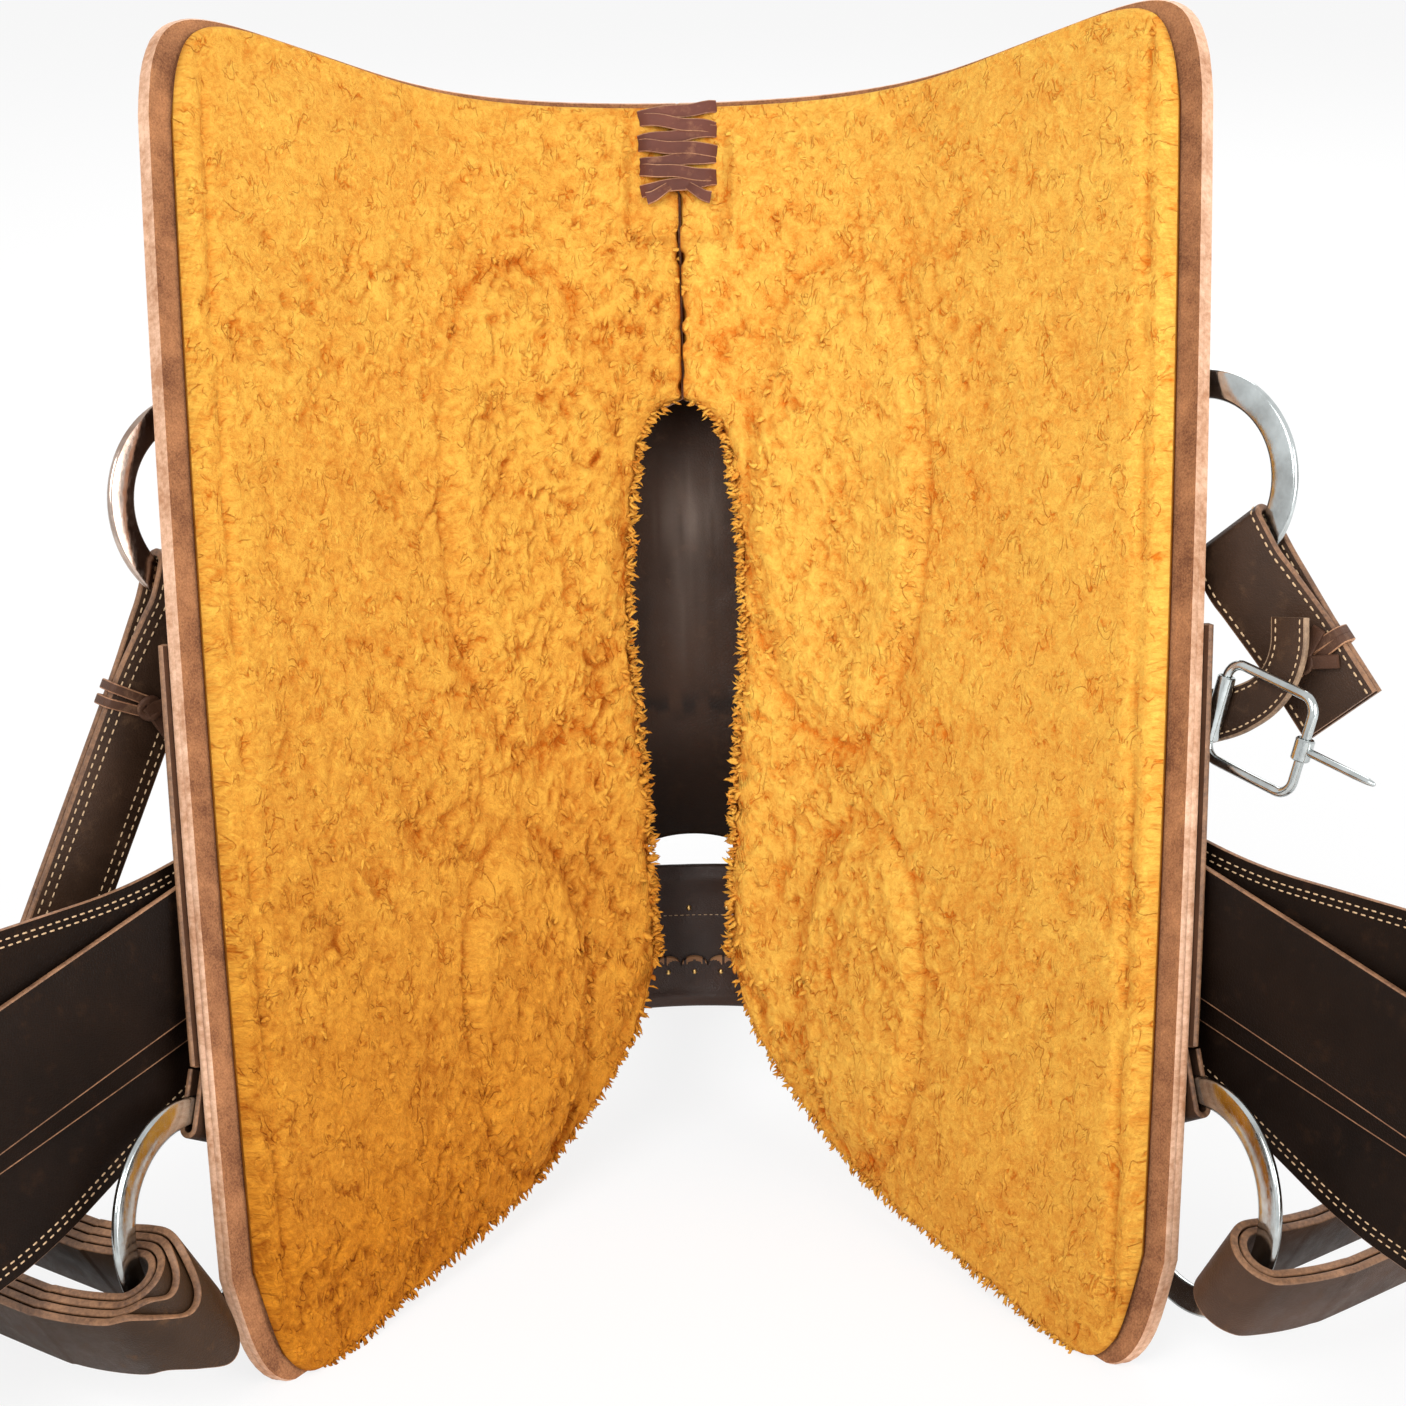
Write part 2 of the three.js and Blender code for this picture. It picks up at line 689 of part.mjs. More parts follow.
// Horn: a steel post in a leather neck under a round leather cap
{
  const base = (forkRear + forkFront) / 2;
  const halfSpan = barOuter(base) - layerGap;
  const onCover = (u, f) => {
    const radius = fromRearToFront(spineRadiusRear, spineRadiusMiddle, spineRadiusFront, base) + forkHeight;
    const arc = u * (radius - forkHeight) / radius;
    const row = (f - forkRear) / (forkFront - forkRear);
    return backPoint(arc, f, coverOver(arc, f, arc / halfSpan / 2 + 0.5, row) + 4 * layerGap);
  };
  const foot = onCover(0, base);
  const lean = hornLean * DEGREE;
  const up = new THREE.Vector3(0, Math.cos(lean), -Math.sin(lean));
  const ahead = new THREE.Vector3(0, Math.sin(lean), Math.cos(lean)).negate();
  const right = new THREE.Vector3(1, 0, 0);
  const circle = (height, radius, corners) => {
    return evenShares(corners).slice(0, -1).map((turn) => {
      const angle = turn * 2 * Math.PI;
      return foot.clone().addScaledVector(up, height)
        .addScaledVector(right, radius * Math.cos(angle))
        .addScaledVector(ahead, radius * Math.sin(angle));
    });
  };
  const footing = (radius, corners) => {
    return evenShares(corners).slice(0, -1).map((turn) => {
      const angle = turn * 2 * Math.PI;
      return onCover(radius * Math.cos(angle), base + radius * Math.sin(angle));
    });
  };
  const corners = 20;
  const waist = hornNeckRadius * 0.8;
  const neckTop = hornHeight - layerGap;
  const neck = loft([footing(hornNeckRadius, corners), circle(hornNeckRadius, waist, corners),
    circle(hornHeight * 0.6, waist, corners), circle(neckTop, hornNeckRadius, corners)]);
  const bore = hornPostRadius + touchGap;
  const core = loft([circle(-cutOverrun * 3, bore, corners), circle(hornHeight + cutOverrun, bore, corners)]);
  add("horn_neck", fromSolid(solid(neck).subtract(solid(core))), leather);
  const post = loft([footing(hornPostRadius - 3 * touchGap, corners),
    circle(hornPostRadius, hornPostRadius, corners), circle(neckTop, hornPostRadius, corners)]);
  add("horn_post", post, steel);
  const cap = loft([circle(hornHeight, hornCapRadius * 0.9, 28),
    circle(hornHeight + hornCapThickness * 0.35, hornCapRadius, 28),
    circle(hornHeight + hornCapThickness * 0.75, hornCapRadius * 0.97, 28),
    circle(hornHeight + hornCapThickness, hornCapRadius * 0.8, 28)]);
  add("horn_cap", cap, leather);
}

// Jockeys: leather flaps laid over the bars before the fork and behind the cantle
const jockeyStart = forkFront + jockeyClear;
const jockeyUnder = (arc, f) => overBars(arc, f) + 3 * layerGap;
const jockeyOver = (arc, f) => jockeyUnder(arc, f) + jockeyThickness;
const nailedUnder = (arc, f) => overBars(arc, f) + layerGap + 2 * touchGap;
const nailedOver = (arc, f) => nailedUnder(arc, f) + jockeyThickness;
for (const [name, side] of sides) {
  const front = (column, row) => {
    const f = jockeyStart + (jockeyFront - jockeyStart) * row;
    const inner = frontEdgeArc(f) + barSpread;
    const outer = jockeyOuterArc - (jockeyOuterArc - inner) * 0.3 * row ** 3;
    return { arc: side * (inner + (outer - inner) * column), f };
  };
  const rear = (column, row) => {
    const arc = seamHalfGap + (jockeyOuterArc - seamHalfGap) * column;
    const ahead = cantleLine(arc) - 2 * cantleBackThickness;
    const back = -jockeyRear + (column ** 4) * cantleFlankForward / 2;
    return { arc: side * arc, f: back + (ahead - back) * row };
  };
  const columns = evenShares(10);
  add(`front_jockey_${name}`, layer(front, nailedUnder, nailedOver, columns, evenShares(4)), leather);
  add(`rear_jockey_${name}`, layer(rear, jockeyUnder, jockeyOver, columns, evenShares(4)), leather);
  const plate = (column, row) => {
    const inner = plateArc + (skirtDrop - plateArc) * 0.5 * (2 * row - 1) ** 6;
    const arc = inner + (skirtDrop + plateOverhang - inner) * column;
    return { arc: side * arc, f: -plateRear + (plateRear + plateFront) * row };
  };
  const plateUnder = () => skirtTop + touchGap * 2;
  const plateOver = () => skirtTop + touchGap * 2 + plateThickness;
  add(`rigging_plate_${name}`, layer(plate, plateUnder, plateOver, evenShares(2), evenShares(10)), leather);
}

// A carrier on the side of the saddle: x runs to the rider's right along the slope, y squarely off it
// and z to the rear. A tilt above zero makes it steeper than the skirt.
function sideFrame(side, arc, f, lift, tilt) {
  const frame = new THREE.Group();
  frame.position.copy(backPoint(side * arc, f, lift));
  frame.rotation.z = -side * (sideSlope(f) + tilt * DEGREE);
  saddle.add(frame);
  return frame;
}

function turned(carrier, turn, name) {
  const group = new THREE.Group();
  group.name = name;
  group.rotation.y = turn * DEGREE;
  carrier.add(group);
  return group;
}

const acrossAxis = new THREE.Vector3(1, 0, 0);
const offAxis = new THREE.Vector3(0, 1, 0);
const outAxis = new THREE.Vector3(0, 0, -1);
const evenWidth = (width) => () => width;

// Rings: each lies in a folded leather hanger whose tail bends like a hinge along the group's x axis
const ringMiddle = hangerLeather + touchGap + ringThickness / 2;
const hangerSeat = 2 * touchGap;

function ring(carrier, place, name, radius, tail) {
  const half = ringThickness / 2;
  const inner = radius - ringBand;
  const profile = [[inner, -half], [radius, -half], [radius, half], [inner, half], [inner, -half]]
    .map(([across, up]) => new THREE.Vector2(across, up));
  const body = new THREE.LatheGeometry(profile, ringSegments);
  const mesh = add(`${place}_ring_${name}`, body, steel, carrier);
  mesh.position.set(0, ringMiddle, -(tail + radius));
  const bend = ringMiddle - hangerLeather / 2;
  const reach = tail + ringBand + bendSlack;
  const turn = arcPath(new THREE.Vector3(0, ringMiddle, -reach), offAxis, outAxis, bend, 180, 0, 6);
  const path = [new THREE.Vector3(0, hangerLeather / 2, 0), ...turn,
    new THREE.Vector3(0, 2 * ringMiddle - hangerLeather / 2, 0)];
  const hanger = strap(path, acrossAxis, evenWidth(hangerWidth), hangerLeather);
  add(`${place}_ring_hanger_${name}`, hanger, leather, carrier);
}

const hinges = {};
for (const [name, side] of sides) {
  const drop = hangerWidth / 2 * Math.sin(frontRingRoll * DEGREE);
  const frontSeat = skirtTop + hangerSeat + drop;
  const front = sideFrame(side, frontRingArc, frontRingForward - frontTail, frontSeat, frontRingRoll);
  hinges[`front_${name}`] = turned(front, -side * frontRingSplay, `front_ring_hinge_${name}`);
  ring(hinges[`front_${name}`], "front", name, frontRingRadius, frontTail);
  const inset = side < 0 ? nearRingInset : 0;
  const rearPivot = rearRingArc - inset - rearRingRadius - hangerTail;
  const rear = sideFrame(side, rearPivot, rearRingForward, skirtTop + 3 * hangerSeat, rearRingRoll);
  hinges[`rear_${name}`] = turned(rear, -side * 90, `rear_ring_hinge_${name}`);
  ring(hinges[`rear_${name}`], "rear", name, rearRingRadius, hangerTail);
}

// Cinch straps of the front rings: long straps wound through the ring in loose loops that reach outward.
// The loops slant, so that they lie in front of the skirt's corner and pass outside its edge.
const coilPitch = strapThickness + layerGap;

// The least gap between two runs of a strap whose width lies along x, on points along its middle line
function leastGap(path) {
  const points = path.slice(0, -1).flatMap((point, index) => {
    return evenShares(gapSteps).slice(0, -1).map((share) => point.clone().lerp(path[index + 1], share));
  });
  const travelled = [0];
  for (let index = 1; index < points.length; index += 1) {
    travelled.push(travelled[index - 1] + points[index].distanceTo(points[index - 1]));
  }
  let least = Infinity;
  for (let first = 0; first < points.length; first += 1) {
    for (let second = first + 1; second < points.length; second += 1) {
      if (travelled[second] - travelled[first] < 4 * strapThickness) continue;
      const away = Math.hypot(points[first].y - points[second].y, points[first].z - points[second].z);
      least = Math.min(least, away - strapThickness);
    }
  }
  return least;
}

function wound(name, path, width) {
  console.log(`${name}: least gap to itself ${leastGap(path).toFixed(2)} mm`);
  return strap(path, acrossAxis, evenWidth(width), strapThickness);
}

// How far inside the middle of a ring's band the edges of a strap meet the ring
function ringSeat(radius, width) {
  return radius - ringBand / 2 - Math.sqrt((radius - ringBand) ** 2 - (width / 2) ** 2);
}

function coil(side, turns, reach) {
  const seat = ringSeat(frontRingRadius, strapWidth);
  const radius = (seat + ringBand / 2) / 2 + coilPlay + strapThickness / 2;
  const heading = (share) => (coilStartAngle + (coilEndAngle - coilStartAngle) * share) * DEGREE;
  const ahead = (angle, distance) => {
    return new THREE.Vector2(Math.cos(angle), Math.sin(angle)).multiplyScalar(distance);
  };
  const middle = [{ place: new THREE.Vector2((ringBand / 2 - seat) / 2, 0), angle: heading(0) }];
  const bendSteps = 3;
  for (let step = 0; step < bendSteps; step += 1) {
    const { place } = middle[step];
    const next = place.clone().add(ahead(heading((step + 0.5) / bendSteps), coilBendLength / bendSteps));
    middle.push({ place: next, angle: heading((step + 1) / bendSteps) });
  }
  const { place: last, angle } = middle[bendSteps];
  middle.push({ place: last.clone().add(ahead(angle, reach)), angle });
  const path = [];
  const put = (station, offset, turn) => {
    const flat = station.place.clone().add(ahead(station.angle + turn * DEGREE, offset));
    const slant = coilSlant * smooth((-flat.y - ringBand - strapThickness / 2) / radius);
    path.push(new THREE.Vector3(-side * slant, flat.y, -flat.x));
  };
  const bendShares = evenShares(7).slice(1, -1);
  for (let turn = 0; turn < turns; turn += 1) {
    const offset = radius + coilPitch * turn;
    for (const station of [...middle].reverse()) put(station, offset, 90);
    for (const share of bendShares) put(middle[0], offset, 90 + 180 * share);
    for (const station of middle) put(station, offset, -90);
    if (turn === turns - 1) continue;
    const end = middle[middle.length - 1];
    for (const share of bendShares) put(end, offset + coilPitch * share, -90 + 180 * share);
  }
  return path;
}

// The place on a ring's band, a number of degrees round it from its lowest point, where a strap hangs.
// A seat moves it from the middle of the band towards the middle of the ring.
function ringFoot(carrier, radius, tail, around, seat, name) {
  const centre = new THREE.Group();
  centre.position.set(0, ringMiddle, -(tail + radius));
  centre.rotation.y = around * DEGREE;
  carrier.add(centre);
  const foot = new THREE.Group();
  foot.name = name;
  foot.position.z = seat - (radius - ringBand / 2);
  centre.add(foot);
  return foot;
}

{
  const near = ringFoot(hinges.front_left, frontRingRadius, frontTail, coilAround, 0, "latigo_hinge");
  const latigo = coil(-1, latigoTurns, latigoReach);
  add("latigo", wound("latigo", latigo, strapWidth), leather, near);
  const off = ringFoot(hinges.front_right, frontRingRadius, frontTail, -coilAround, 0, "off_billet_hinge");
  const billet = coil(1, billetTurns, billetReach);
  add("off_billet", wound("off_billet", billet, strapWidth), leather, off);
}

// Flank billets: doubled straps folded round the rear rings, each closed by a knotted lace
const foldRadius = ringThickness / 2 + foldPlay + strapThickness / 2;

// Places along a billet are counted from the middle of the ring's band, and its own zero is its seat.
function foldedBillet(length, climb, closing, seat) {
  const rise = Math.tan(climb * DEGREE);
  const close = (strapThickness + plyGap) / 2;
  const clear = -(seat + ringBand / 2);
  const ply = (sign) => [new THREE.Vector3(0, closing * rise + sign * close, -closing - seat),
    new THREE.Vector3(0, length * rise + sign * close, -length - seat)];
  const bend = arcPath(new THREE.Vector3(0, 0, -foldTuck), offAxis, outAxis, foldRadius, 180, 360, 8);
  return [...ply(-1).reverse(), new THREE.Vector3(0, -foldRadius, clear), ...bend,
    new THREE.Vector3(0, foldRadius, clear), ...ply(1)];
}

function laceKeeper(width, along, climb, seat) {
  const inside = 2 * strapThickness + plyGap + 4 * touchGap;
  const around = width + 4 * touchGap + 2 * laceThickness;
  const outer = new THREE.BoxGeometry(around, inside + 2 * laceThickness, laceBand);
  const hole = new THREE.BoxGeometry(width + 4 * touchGap, inside, laceBand + cutOverrun);
  let body = solid(outer).subtract(solid(hole));
  for (const turn of laceTailTurns) {
    const tail = new THREE.BoxGeometry(laceBand * 2, laceThickness * 1.4, laceBand * 0.8);
    tail.translate(laceBand * 0.9, 0, 0);
    tail.rotateY(turn * DEGREE);
    tail.translate(0, -(inside / 2 + laceThickness * 1.3), 0);
    body = body.add(solid(tail));
  }
  const geometry = fromSolid(body);
  geometry.rotateX(climb * DEGREE);
  geometry.translate(0, along * Math.tan(climb * DEGREE), -along - seat);
  return geometry;
}

{
  const seat = ringSeat(rearRingRadius, flankWidth);
  const around = flankAround - 90;
  const name = "near_flank_billet_hinge";
  const foot = ringFoot(hinges.rear_left, rearRingRadius, hangerTail, around, seat, name);
  const path = foldedBillet(flankLength, flankClimb, keeperPlace - laceBand, seat);
  add("near_flank_billet", wound("near_flank_billet", path, flankWidth), leather, foot);
  add("near_flank_lace", laceKeeper(flankWidth, keeperPlace, flankClimb, seat), lace, foot);
}

// Off flank billet, the flank strap under its lace, and the roller buckle on that strap
{
  const around = 90 - offFlankAround;
  const seat = ringSeat(rearRingRadius, offFlankWidth);
  const name = "off_flank_billet_hinge";
  const foot = ringFoot(hinges.rear_right, rearRingRadius, hangerTail, around, seat, name);
  const path = foldedBillet(offFlankLength, offFlankClimb, keeperPlace - laceBand, seat);
  add("off_flank_billet", wound("off_flank_billet", path, offFlankWidth), leather, foot);
  add("off_flank_lace", laceKeeper(offFlankWidth, keeperPlace, offFlankClimb, seat), lace, foot);
}

// A strap that bends edgewise in its own plane, with y squarely off its face
function flatStrap(path, widthAt, thickness) {
  const sections = path.map((point, index) => {
    const before = path[Math.max(index - 1, 0)];
    const after = path[Math.min(index + 1, path.length - 1)];
    const heading = after.clone().sub(before).normalize();
    const wide = new THREE.Vector3().crossVectors(heading, offAxis).normalize();
    const face = new THREE.Vector3().crossVectors(wide, heading);
    const half = widthAt(index / (path.length - 1)) / 2;
    const corner = (across, up) => point.clone()
      .addScaledVector(wide, across * half)
      .addScaledVector(face, up * thickness / 2);
    return [corner(-1, -1), corner(1, -1), corner(1, 1), corner(-1, 1)];
  });
  return loft(sections);
}

{
  const frame = sideFrame(1, buckleArc, buckleForward, buckleLift, 0);
  const over = rollerRadius + strapThickness / 2 + 2 * touchGap;
  const resting = skirtTop + hangerSeat + plateThickness + layerGap + strapThickness / 2 - buckleLift;
  const [near, far] = [buckleLength / 5, buckleLength];
  const courseShares = [[0.72, 0.78, 1], [0.7, 0.5, 1], [0.6, 0.27, 1], [0.42, 0.1, 1], [0.2, 0, 1],
    [0, -0.05, 1], [-0.28, -0.08, 1], [-0.45, -0.1, 0.7], [-0.65, -0.1, 0.2], [-0.95, -0.1, 0]];
  const path = courseShares.map(([out, rear, high]) => {
    return new THREE.Vector3(out * far, resting + (over - resting) * high, rear * far);
  });
  const width = (share) => flankStrapWidth * (0.72 + 0.28 * smooth(share * 1.6 - 0.4));
  add("flank_strap", flatStrap(path, width, strapThickness), leather, frame);
  const swing = turned(frame, buckleTurn, "buckle_hinge");
  const corners = [[0, 1, 90], [far, 1, 0], [far, -1, -90], [0, -1, -180]];
  const sections = [];
  for (const [x, end, from] of corners) {
    const centre = new THREE.Vector3(x + (x > 0 ? -buckleCorner : buckleCorner), 0,
      -end * (buckleHeight / 2 - buckleCorner));
    for (const share of evenShares(3)) {
      const angle = (from + 90 - 90 * share) * DEGREE;
      const out = new THREE.Vector3(Math.cos(angle), 0, -Math.sin(angle));
      const bend = centre.clone().addScaledVector(out, buckleCorner);
      sections.push(evenShares(8).slice(0, -1).map((turn) => {
        const around = turn * 2 * Math.PI;
        return bend.clone().addScaledVector(out, buckleWire * Math.cos(around))
          .addScaledVector(offAxis, buckleWire * Math.sin(around));
      }));
    }
  }
  add("buckle_frame", loft(sections, true), steel, swing);
  const tube = (outer, length) => {
    const inner = buckleWire + touchGap;
    const profile = [[inner, -length / 2], [outer, -length / 2], [outer, length / 2], [inner, length / 2],
      [inner, -length / 2]].map(([across, up]) => new THREE.Vector2(across, up));
    const body = new THREE.LatheGeometry(profile, 16);
    body.rotateX(Math.PI / 2);
    return body;
  };
  add("buckle_roller", tube(rollerRadius, rollerLength), steel, swing);
  const post = new THREE.Group();
  post.name = "tongue_hinge";
  post.position.x = far;
  swing.add(post);
  const eye = tube(buckleWire + touchGap + tongueRadius, near);
  const arm = new THREE.CylinderGeometry(tongueRadius, tongueRadius, tongueLength, 10);
  arm.rotateZ(Math.PI / 2);
  arm.translate(buckleWire + tongueRadius + tongueLength / 2, 0, 0);
  add("buckle_tongue", fromSolid(solid(eye).add(solid(arm))), steel, post);
}

// Fenders with their doubled stirrup leathers, and the stirrups on their bolts
const fenderArc = seatSide + fenderClear;
const fenderLift = skirtTop + layerGap + plateThickness + 3 * layerGap;
const leatherPitch = leatherThickness + touchGap;
const fenderUnder = 2 * leatherPitch;
const leatherRear = fenderTopHalfWidth - leatherWidth / 2;
const stirrupCentre = leatherRear - leatherStep / 2;
const hobblePlace = fenderLength - hobbleAbove;
const stirrupDrop = fenderLength + stirrupBelow;
const fenderShares = [[0, 0.87], [0.3, 1], [0.55, 1.45], [0.8, 1.5], [0.92, 0.75], [1, 0.6]];
const fenderRowShares = [0, 0.3, 0.43, 0.55, 0.68, 0.8, 0.86, 0.92, 1];

for (const [name, side] of sides) {
  const frame = sideFrame(side, fenderArc, fenderForward, fenderLift, 0);
  const hinge = turned(frame, side * fenderSwing, `fender_hinge_${name}`);
  const face = (up) => (column, row) => {
    const half = fenderHalfWidth * follow(fenderShares, row);
    const z = stirrupCentre * row + (2 * column - 1) * half;
    return new THREE.Vector3(side * fenderLength * row, up, z);
  };
  const top = fenderUnder + fenderThickness;
  const fender = sheet(face(fenderUnder), face(top), evenShares(2), fenderRowShares);
  add(`fender_${name}`, fender, leather, hinge);
  const belt = (grow, depth) => {
    const wide = leatherWidth + leatherStep + 10 * layerGap + 2 * grow;
    const thick = top + 2 * touchGap + 2 * grow;
    const body = new THREE.BoxGeometry(depth, thick, wide);
    body.translate(side * hobblePlace, top / 2, stirrupCentre);
    return solid(body);
  };
  const inside = belt(0, hobbleWidth + cutOverrun);
  const hobble = fromSolid(belt(hobbleThickness, hobbleWidth).subtract(inside));
  add(`hobble_strap_${name}`, hobble, leather, hinge);
  const wrapPlace = (column, row) => {
    const f = fenderForward - leatherRear + (row - 0.5) * leatherWidth;
    const inner = barOuter(f) + 3 * barEdge + layerGap;
    const outer = fenderArc + wrapReach + (fenderForward - f) * Math.tan(fenderSwing * DEGREE);
    return { arc: side * (inner + (outer - inner) * column), f };
  };
  const wrap = layer(wrapPlace, () => skirtTop + layerGap, () => fenderLift - 3 * woolGap, evenShares(6),
    evenShares(4));
  add(`leather_wrap_${name}`, wrap, leather);
  const bolt = new THREE.Vector3(side * stirrupDrop, leatherPitch, 0);
  const along = new THREE.Vector3(side, 0, 0);
  const round = boltRadius + touchGap + leatherThickness / 2;
  const ply = (sign) => [new THREE.Vector3(0, leatherPitch + sign * leatherPitch / 2, 0),
    new THREE.Vector3(side * (stirrupDrop - boltSpread), leatherPitch + sign * leatherPitch / 2, 0)];
  const bend = arcPath(bolt, offAxis, along, round, 180, 0, 10);
  const path = [...ply(-1), ...bend, ...ply(1).reverse()];
  path.forEach((point) => { point.z = leatherRear; });
  const widthAxis = new THREE.Vector3(0, 0, 1);
  const skew = (share) => -leatherStep * smooth((share - 0.1) / 0.8);
  add(`stirrup_leather_${name}`, strap(path, widthAxis, evenWidth(leatherWidth), leatherThickness, skew),
    leather, hinge);
  const foot = new THREE.Group();
  foot.name = `stirrup_hinge_${name}`;
  foot.position.set(side * stirrupDrop, leatherPitch, stirrupCentre);
  hinge.add(foot);
  const outline = new THREE.Shape();
  const corner = stirrupHalfTread * 0.3;
  const crown = stirrupHalfTop + stirrupBar;
  const tread = stirrupHalfTread + stirrupBar;
  const low = stirrupHeight + stirrupBar;
  outline.moveTo(-crown, -stirrupBar);
  outline.lineTo(-stirrupHalfTop, -stirrupBar);
  outline.lineTo(-stirrupHalfTop, stirrupBar);
  outline.lineTo(-stirrupHalfTread, stirrupHeight - corner);
  outline.quadraticCurveTo(-stirrupHalfTread, stirrupHeight, -stirrupHalfTread + corner, stirrupHeight);
  outline.lineTo(stirrupHalfTread - corner, stirrupHeight);
  outline.quadraticCurveTo(stirrupHalfTread, stirrupHeight, stirrupHalfTread, stirrupHeight - corner);
  outline.lineTo(stirrupHalfTop, stirrupBar);
  outline.lineTo(stirrupHalfTop, -stirrupBar);
  outline.lineTo(crown, -stirrupBar);
  outline.lineTo(tread, stirrupHeight - corner);
  outline.quadraticCurveTo(tread, low, tread - corner, low);
  outline.lineTo(-tread + corner, low);
  outline.quadraticCurveTo(-tread, low, -tread, stirrupHeight - corner);
  outline.closePath();
  const settings = { depth: stirrupTread, bevelEnabled: false, curveSegments: 4 };
  const frameBody = new THREE.ExtrudeGeometry(outline, settings);
  frameBody.translate(0, 0, -stirrupTread / 2);
  frameBody.applyMatrix4(new THREE.Matrix4().makeBasis(
    new THREE.Vector3(0, 0, side),
    new THREE.Vector3(side, 0, 0),
    new THREE.Vector3(0, 1, 0),
  ));
  const reach = 2 * (crown + boltHead);
  const bore = new THREE.CylinderGeometry(boltRadius + touchGap, boltRadius + touchGap, reach, 16);
  bore.rotateX(Math.PI / 2);
  add(`stirrup_${name}`, fromSolid(solid(frameBody).subtract(solid(bore))), wood, foot);
  const pin = new THREE.CylinderGeometry(boltRadius, boltRadius, reach, 16);
  pin.rotateX(Math.PI / 2);
  add(`stirrup_bolt_${name}`, pin, steel, foot);
}

// The saddle leans back until the skirt tips and the horn cap stand on one level, over the origin.
const standing = new THREE.Group();
standing.add(saddle);

function lowest(names) {
  standing.updateMatrixWorld(true);
  let low = Infinity;
  saddle.traverse((item) => {
    if (!item.isMesh || !names.some((name) => item.name.startsWith(name))) return;
    low = Math.min(low, new THREE.Box3().setFromObject(item, true).min.z);
  });
  return low;
}

let leanLow = 0;
let leanHigh = 40 * DEGREE;
for (let step = 0; step < 30; step += 1) {
  saddle.rotation.x = -(leanLow + leanHigh) / 2;
  const tipsAreLower = lowest(["skirt_", "fleece_"]) < lowest(["horn_cap"]);
  if (tipsAreLower) leanLow = -saddle.rotation.x;
  else leanHigh = -saddle.rotation.x;
}
standing.updateMatrixWorld(true);
const extent = new THREE.Box3().setFromObject(saddle, true);
const middle = extent.getCenter(new THREE.Vector3());
saddle.position.set(-middle.x, -middle.y, -extent.min.z);

export default standing;
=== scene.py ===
# A western riding saddle that stands on its nose, with its fleece underside to the camera.
import bpy
import json
import math
import numpy as np
from mathutils import Matrix

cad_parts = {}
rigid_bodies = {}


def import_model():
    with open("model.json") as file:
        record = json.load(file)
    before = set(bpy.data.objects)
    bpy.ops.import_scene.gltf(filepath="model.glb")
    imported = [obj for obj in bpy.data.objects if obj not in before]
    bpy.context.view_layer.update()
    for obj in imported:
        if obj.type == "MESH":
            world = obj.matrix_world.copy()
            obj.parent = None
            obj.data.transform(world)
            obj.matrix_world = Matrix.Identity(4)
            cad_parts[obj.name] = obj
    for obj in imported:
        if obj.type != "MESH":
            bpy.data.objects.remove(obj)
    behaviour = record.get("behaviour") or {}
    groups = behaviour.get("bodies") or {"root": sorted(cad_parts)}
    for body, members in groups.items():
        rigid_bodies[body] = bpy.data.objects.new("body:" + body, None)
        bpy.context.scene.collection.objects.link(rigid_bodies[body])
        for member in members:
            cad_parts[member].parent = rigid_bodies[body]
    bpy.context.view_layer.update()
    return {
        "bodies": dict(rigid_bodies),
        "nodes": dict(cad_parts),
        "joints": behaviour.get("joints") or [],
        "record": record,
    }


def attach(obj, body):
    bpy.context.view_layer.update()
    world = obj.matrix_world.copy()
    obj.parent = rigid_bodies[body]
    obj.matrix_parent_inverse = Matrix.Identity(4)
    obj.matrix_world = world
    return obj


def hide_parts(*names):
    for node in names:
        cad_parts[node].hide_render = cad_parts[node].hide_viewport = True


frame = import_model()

# The stance. The saddle leans on the front tips of its skirts and on its horn. Its own axes are x to the
# rider's right, y up from the horse and z to the rear, in millimetres, and f below is forward, minus z.
LEAN = math.radians(20.903391)
STAND_Y = 8.3263
STAND_Z = 352.6800


def xyz(x, y, z):
    """Points from their coordinates, each of which is an array or a number."""
    return np.stack(np.broadcast_arrays(x, y, z), -1)


def stand(points):
    """Saddle axes in mm to the frame in metres: a turn about x by the lean, then a shift onto the ground."""
    x, y, z = np.moveaxis(points, -1, 0)
    c, s = math.cos(LEAN), math.sin(LEAN)
    return xyz(x, y * c + z * s + STAND_Y, z * c - y * s + STAND_Z) * 0.001


def standing(axes, place):
    """The matrix of an object at a place, with its own x, y and z along three axes."""
    made = np.eye(4)
    made[:3, :3] = np.stack(axes, -1)
    made[:3, 3] = place
    return Matrix(made.tolist())


def add_object(name, data):
    """Puts a mesh, a lamp or a camera into the scene."""
    made = bpy.data.objects.new(name, data)
    bpy.context.collection.objects.link(made)
    return made


# The camera looks squarely at the underside, along the saddle's y, from 1.7 m below the skirts' level.
VIEW_DISTANCE = 1700.0
VIEW_SIDE = 8.4
VIEW_ROLL = math.radians(1.15)
SENSOR = 36.0
FOCAL_SHARE = 3275.0 / 1406.0
roll_c, roll_s = math.cos(VIEW_ROLL), math.sin(VIEW_ROLL)
ground = stand(np.zeros(3))
view_axes = [(stand(np.array(axis)) - ground) * 1000 for axis in
             ([roll_c, 0.0, -roll_s], [roll_s, 0.0, roll_c], [0.0, -1.0, 0.0])]
camera = add_object("camera", bpy.data.cameras.new("camera"))
camera.data.sensor_width = SENSOR
camera.data.lens = SENSOR * FOCAL_SHARE
camera.data.clip_end = 50.0
camera.matrix_world = standing(view_axes, stand(np.array([VIEW_SIDE, -VIEW_DISTANCE, 0.0])))
bpy.context.scene.camera = camera

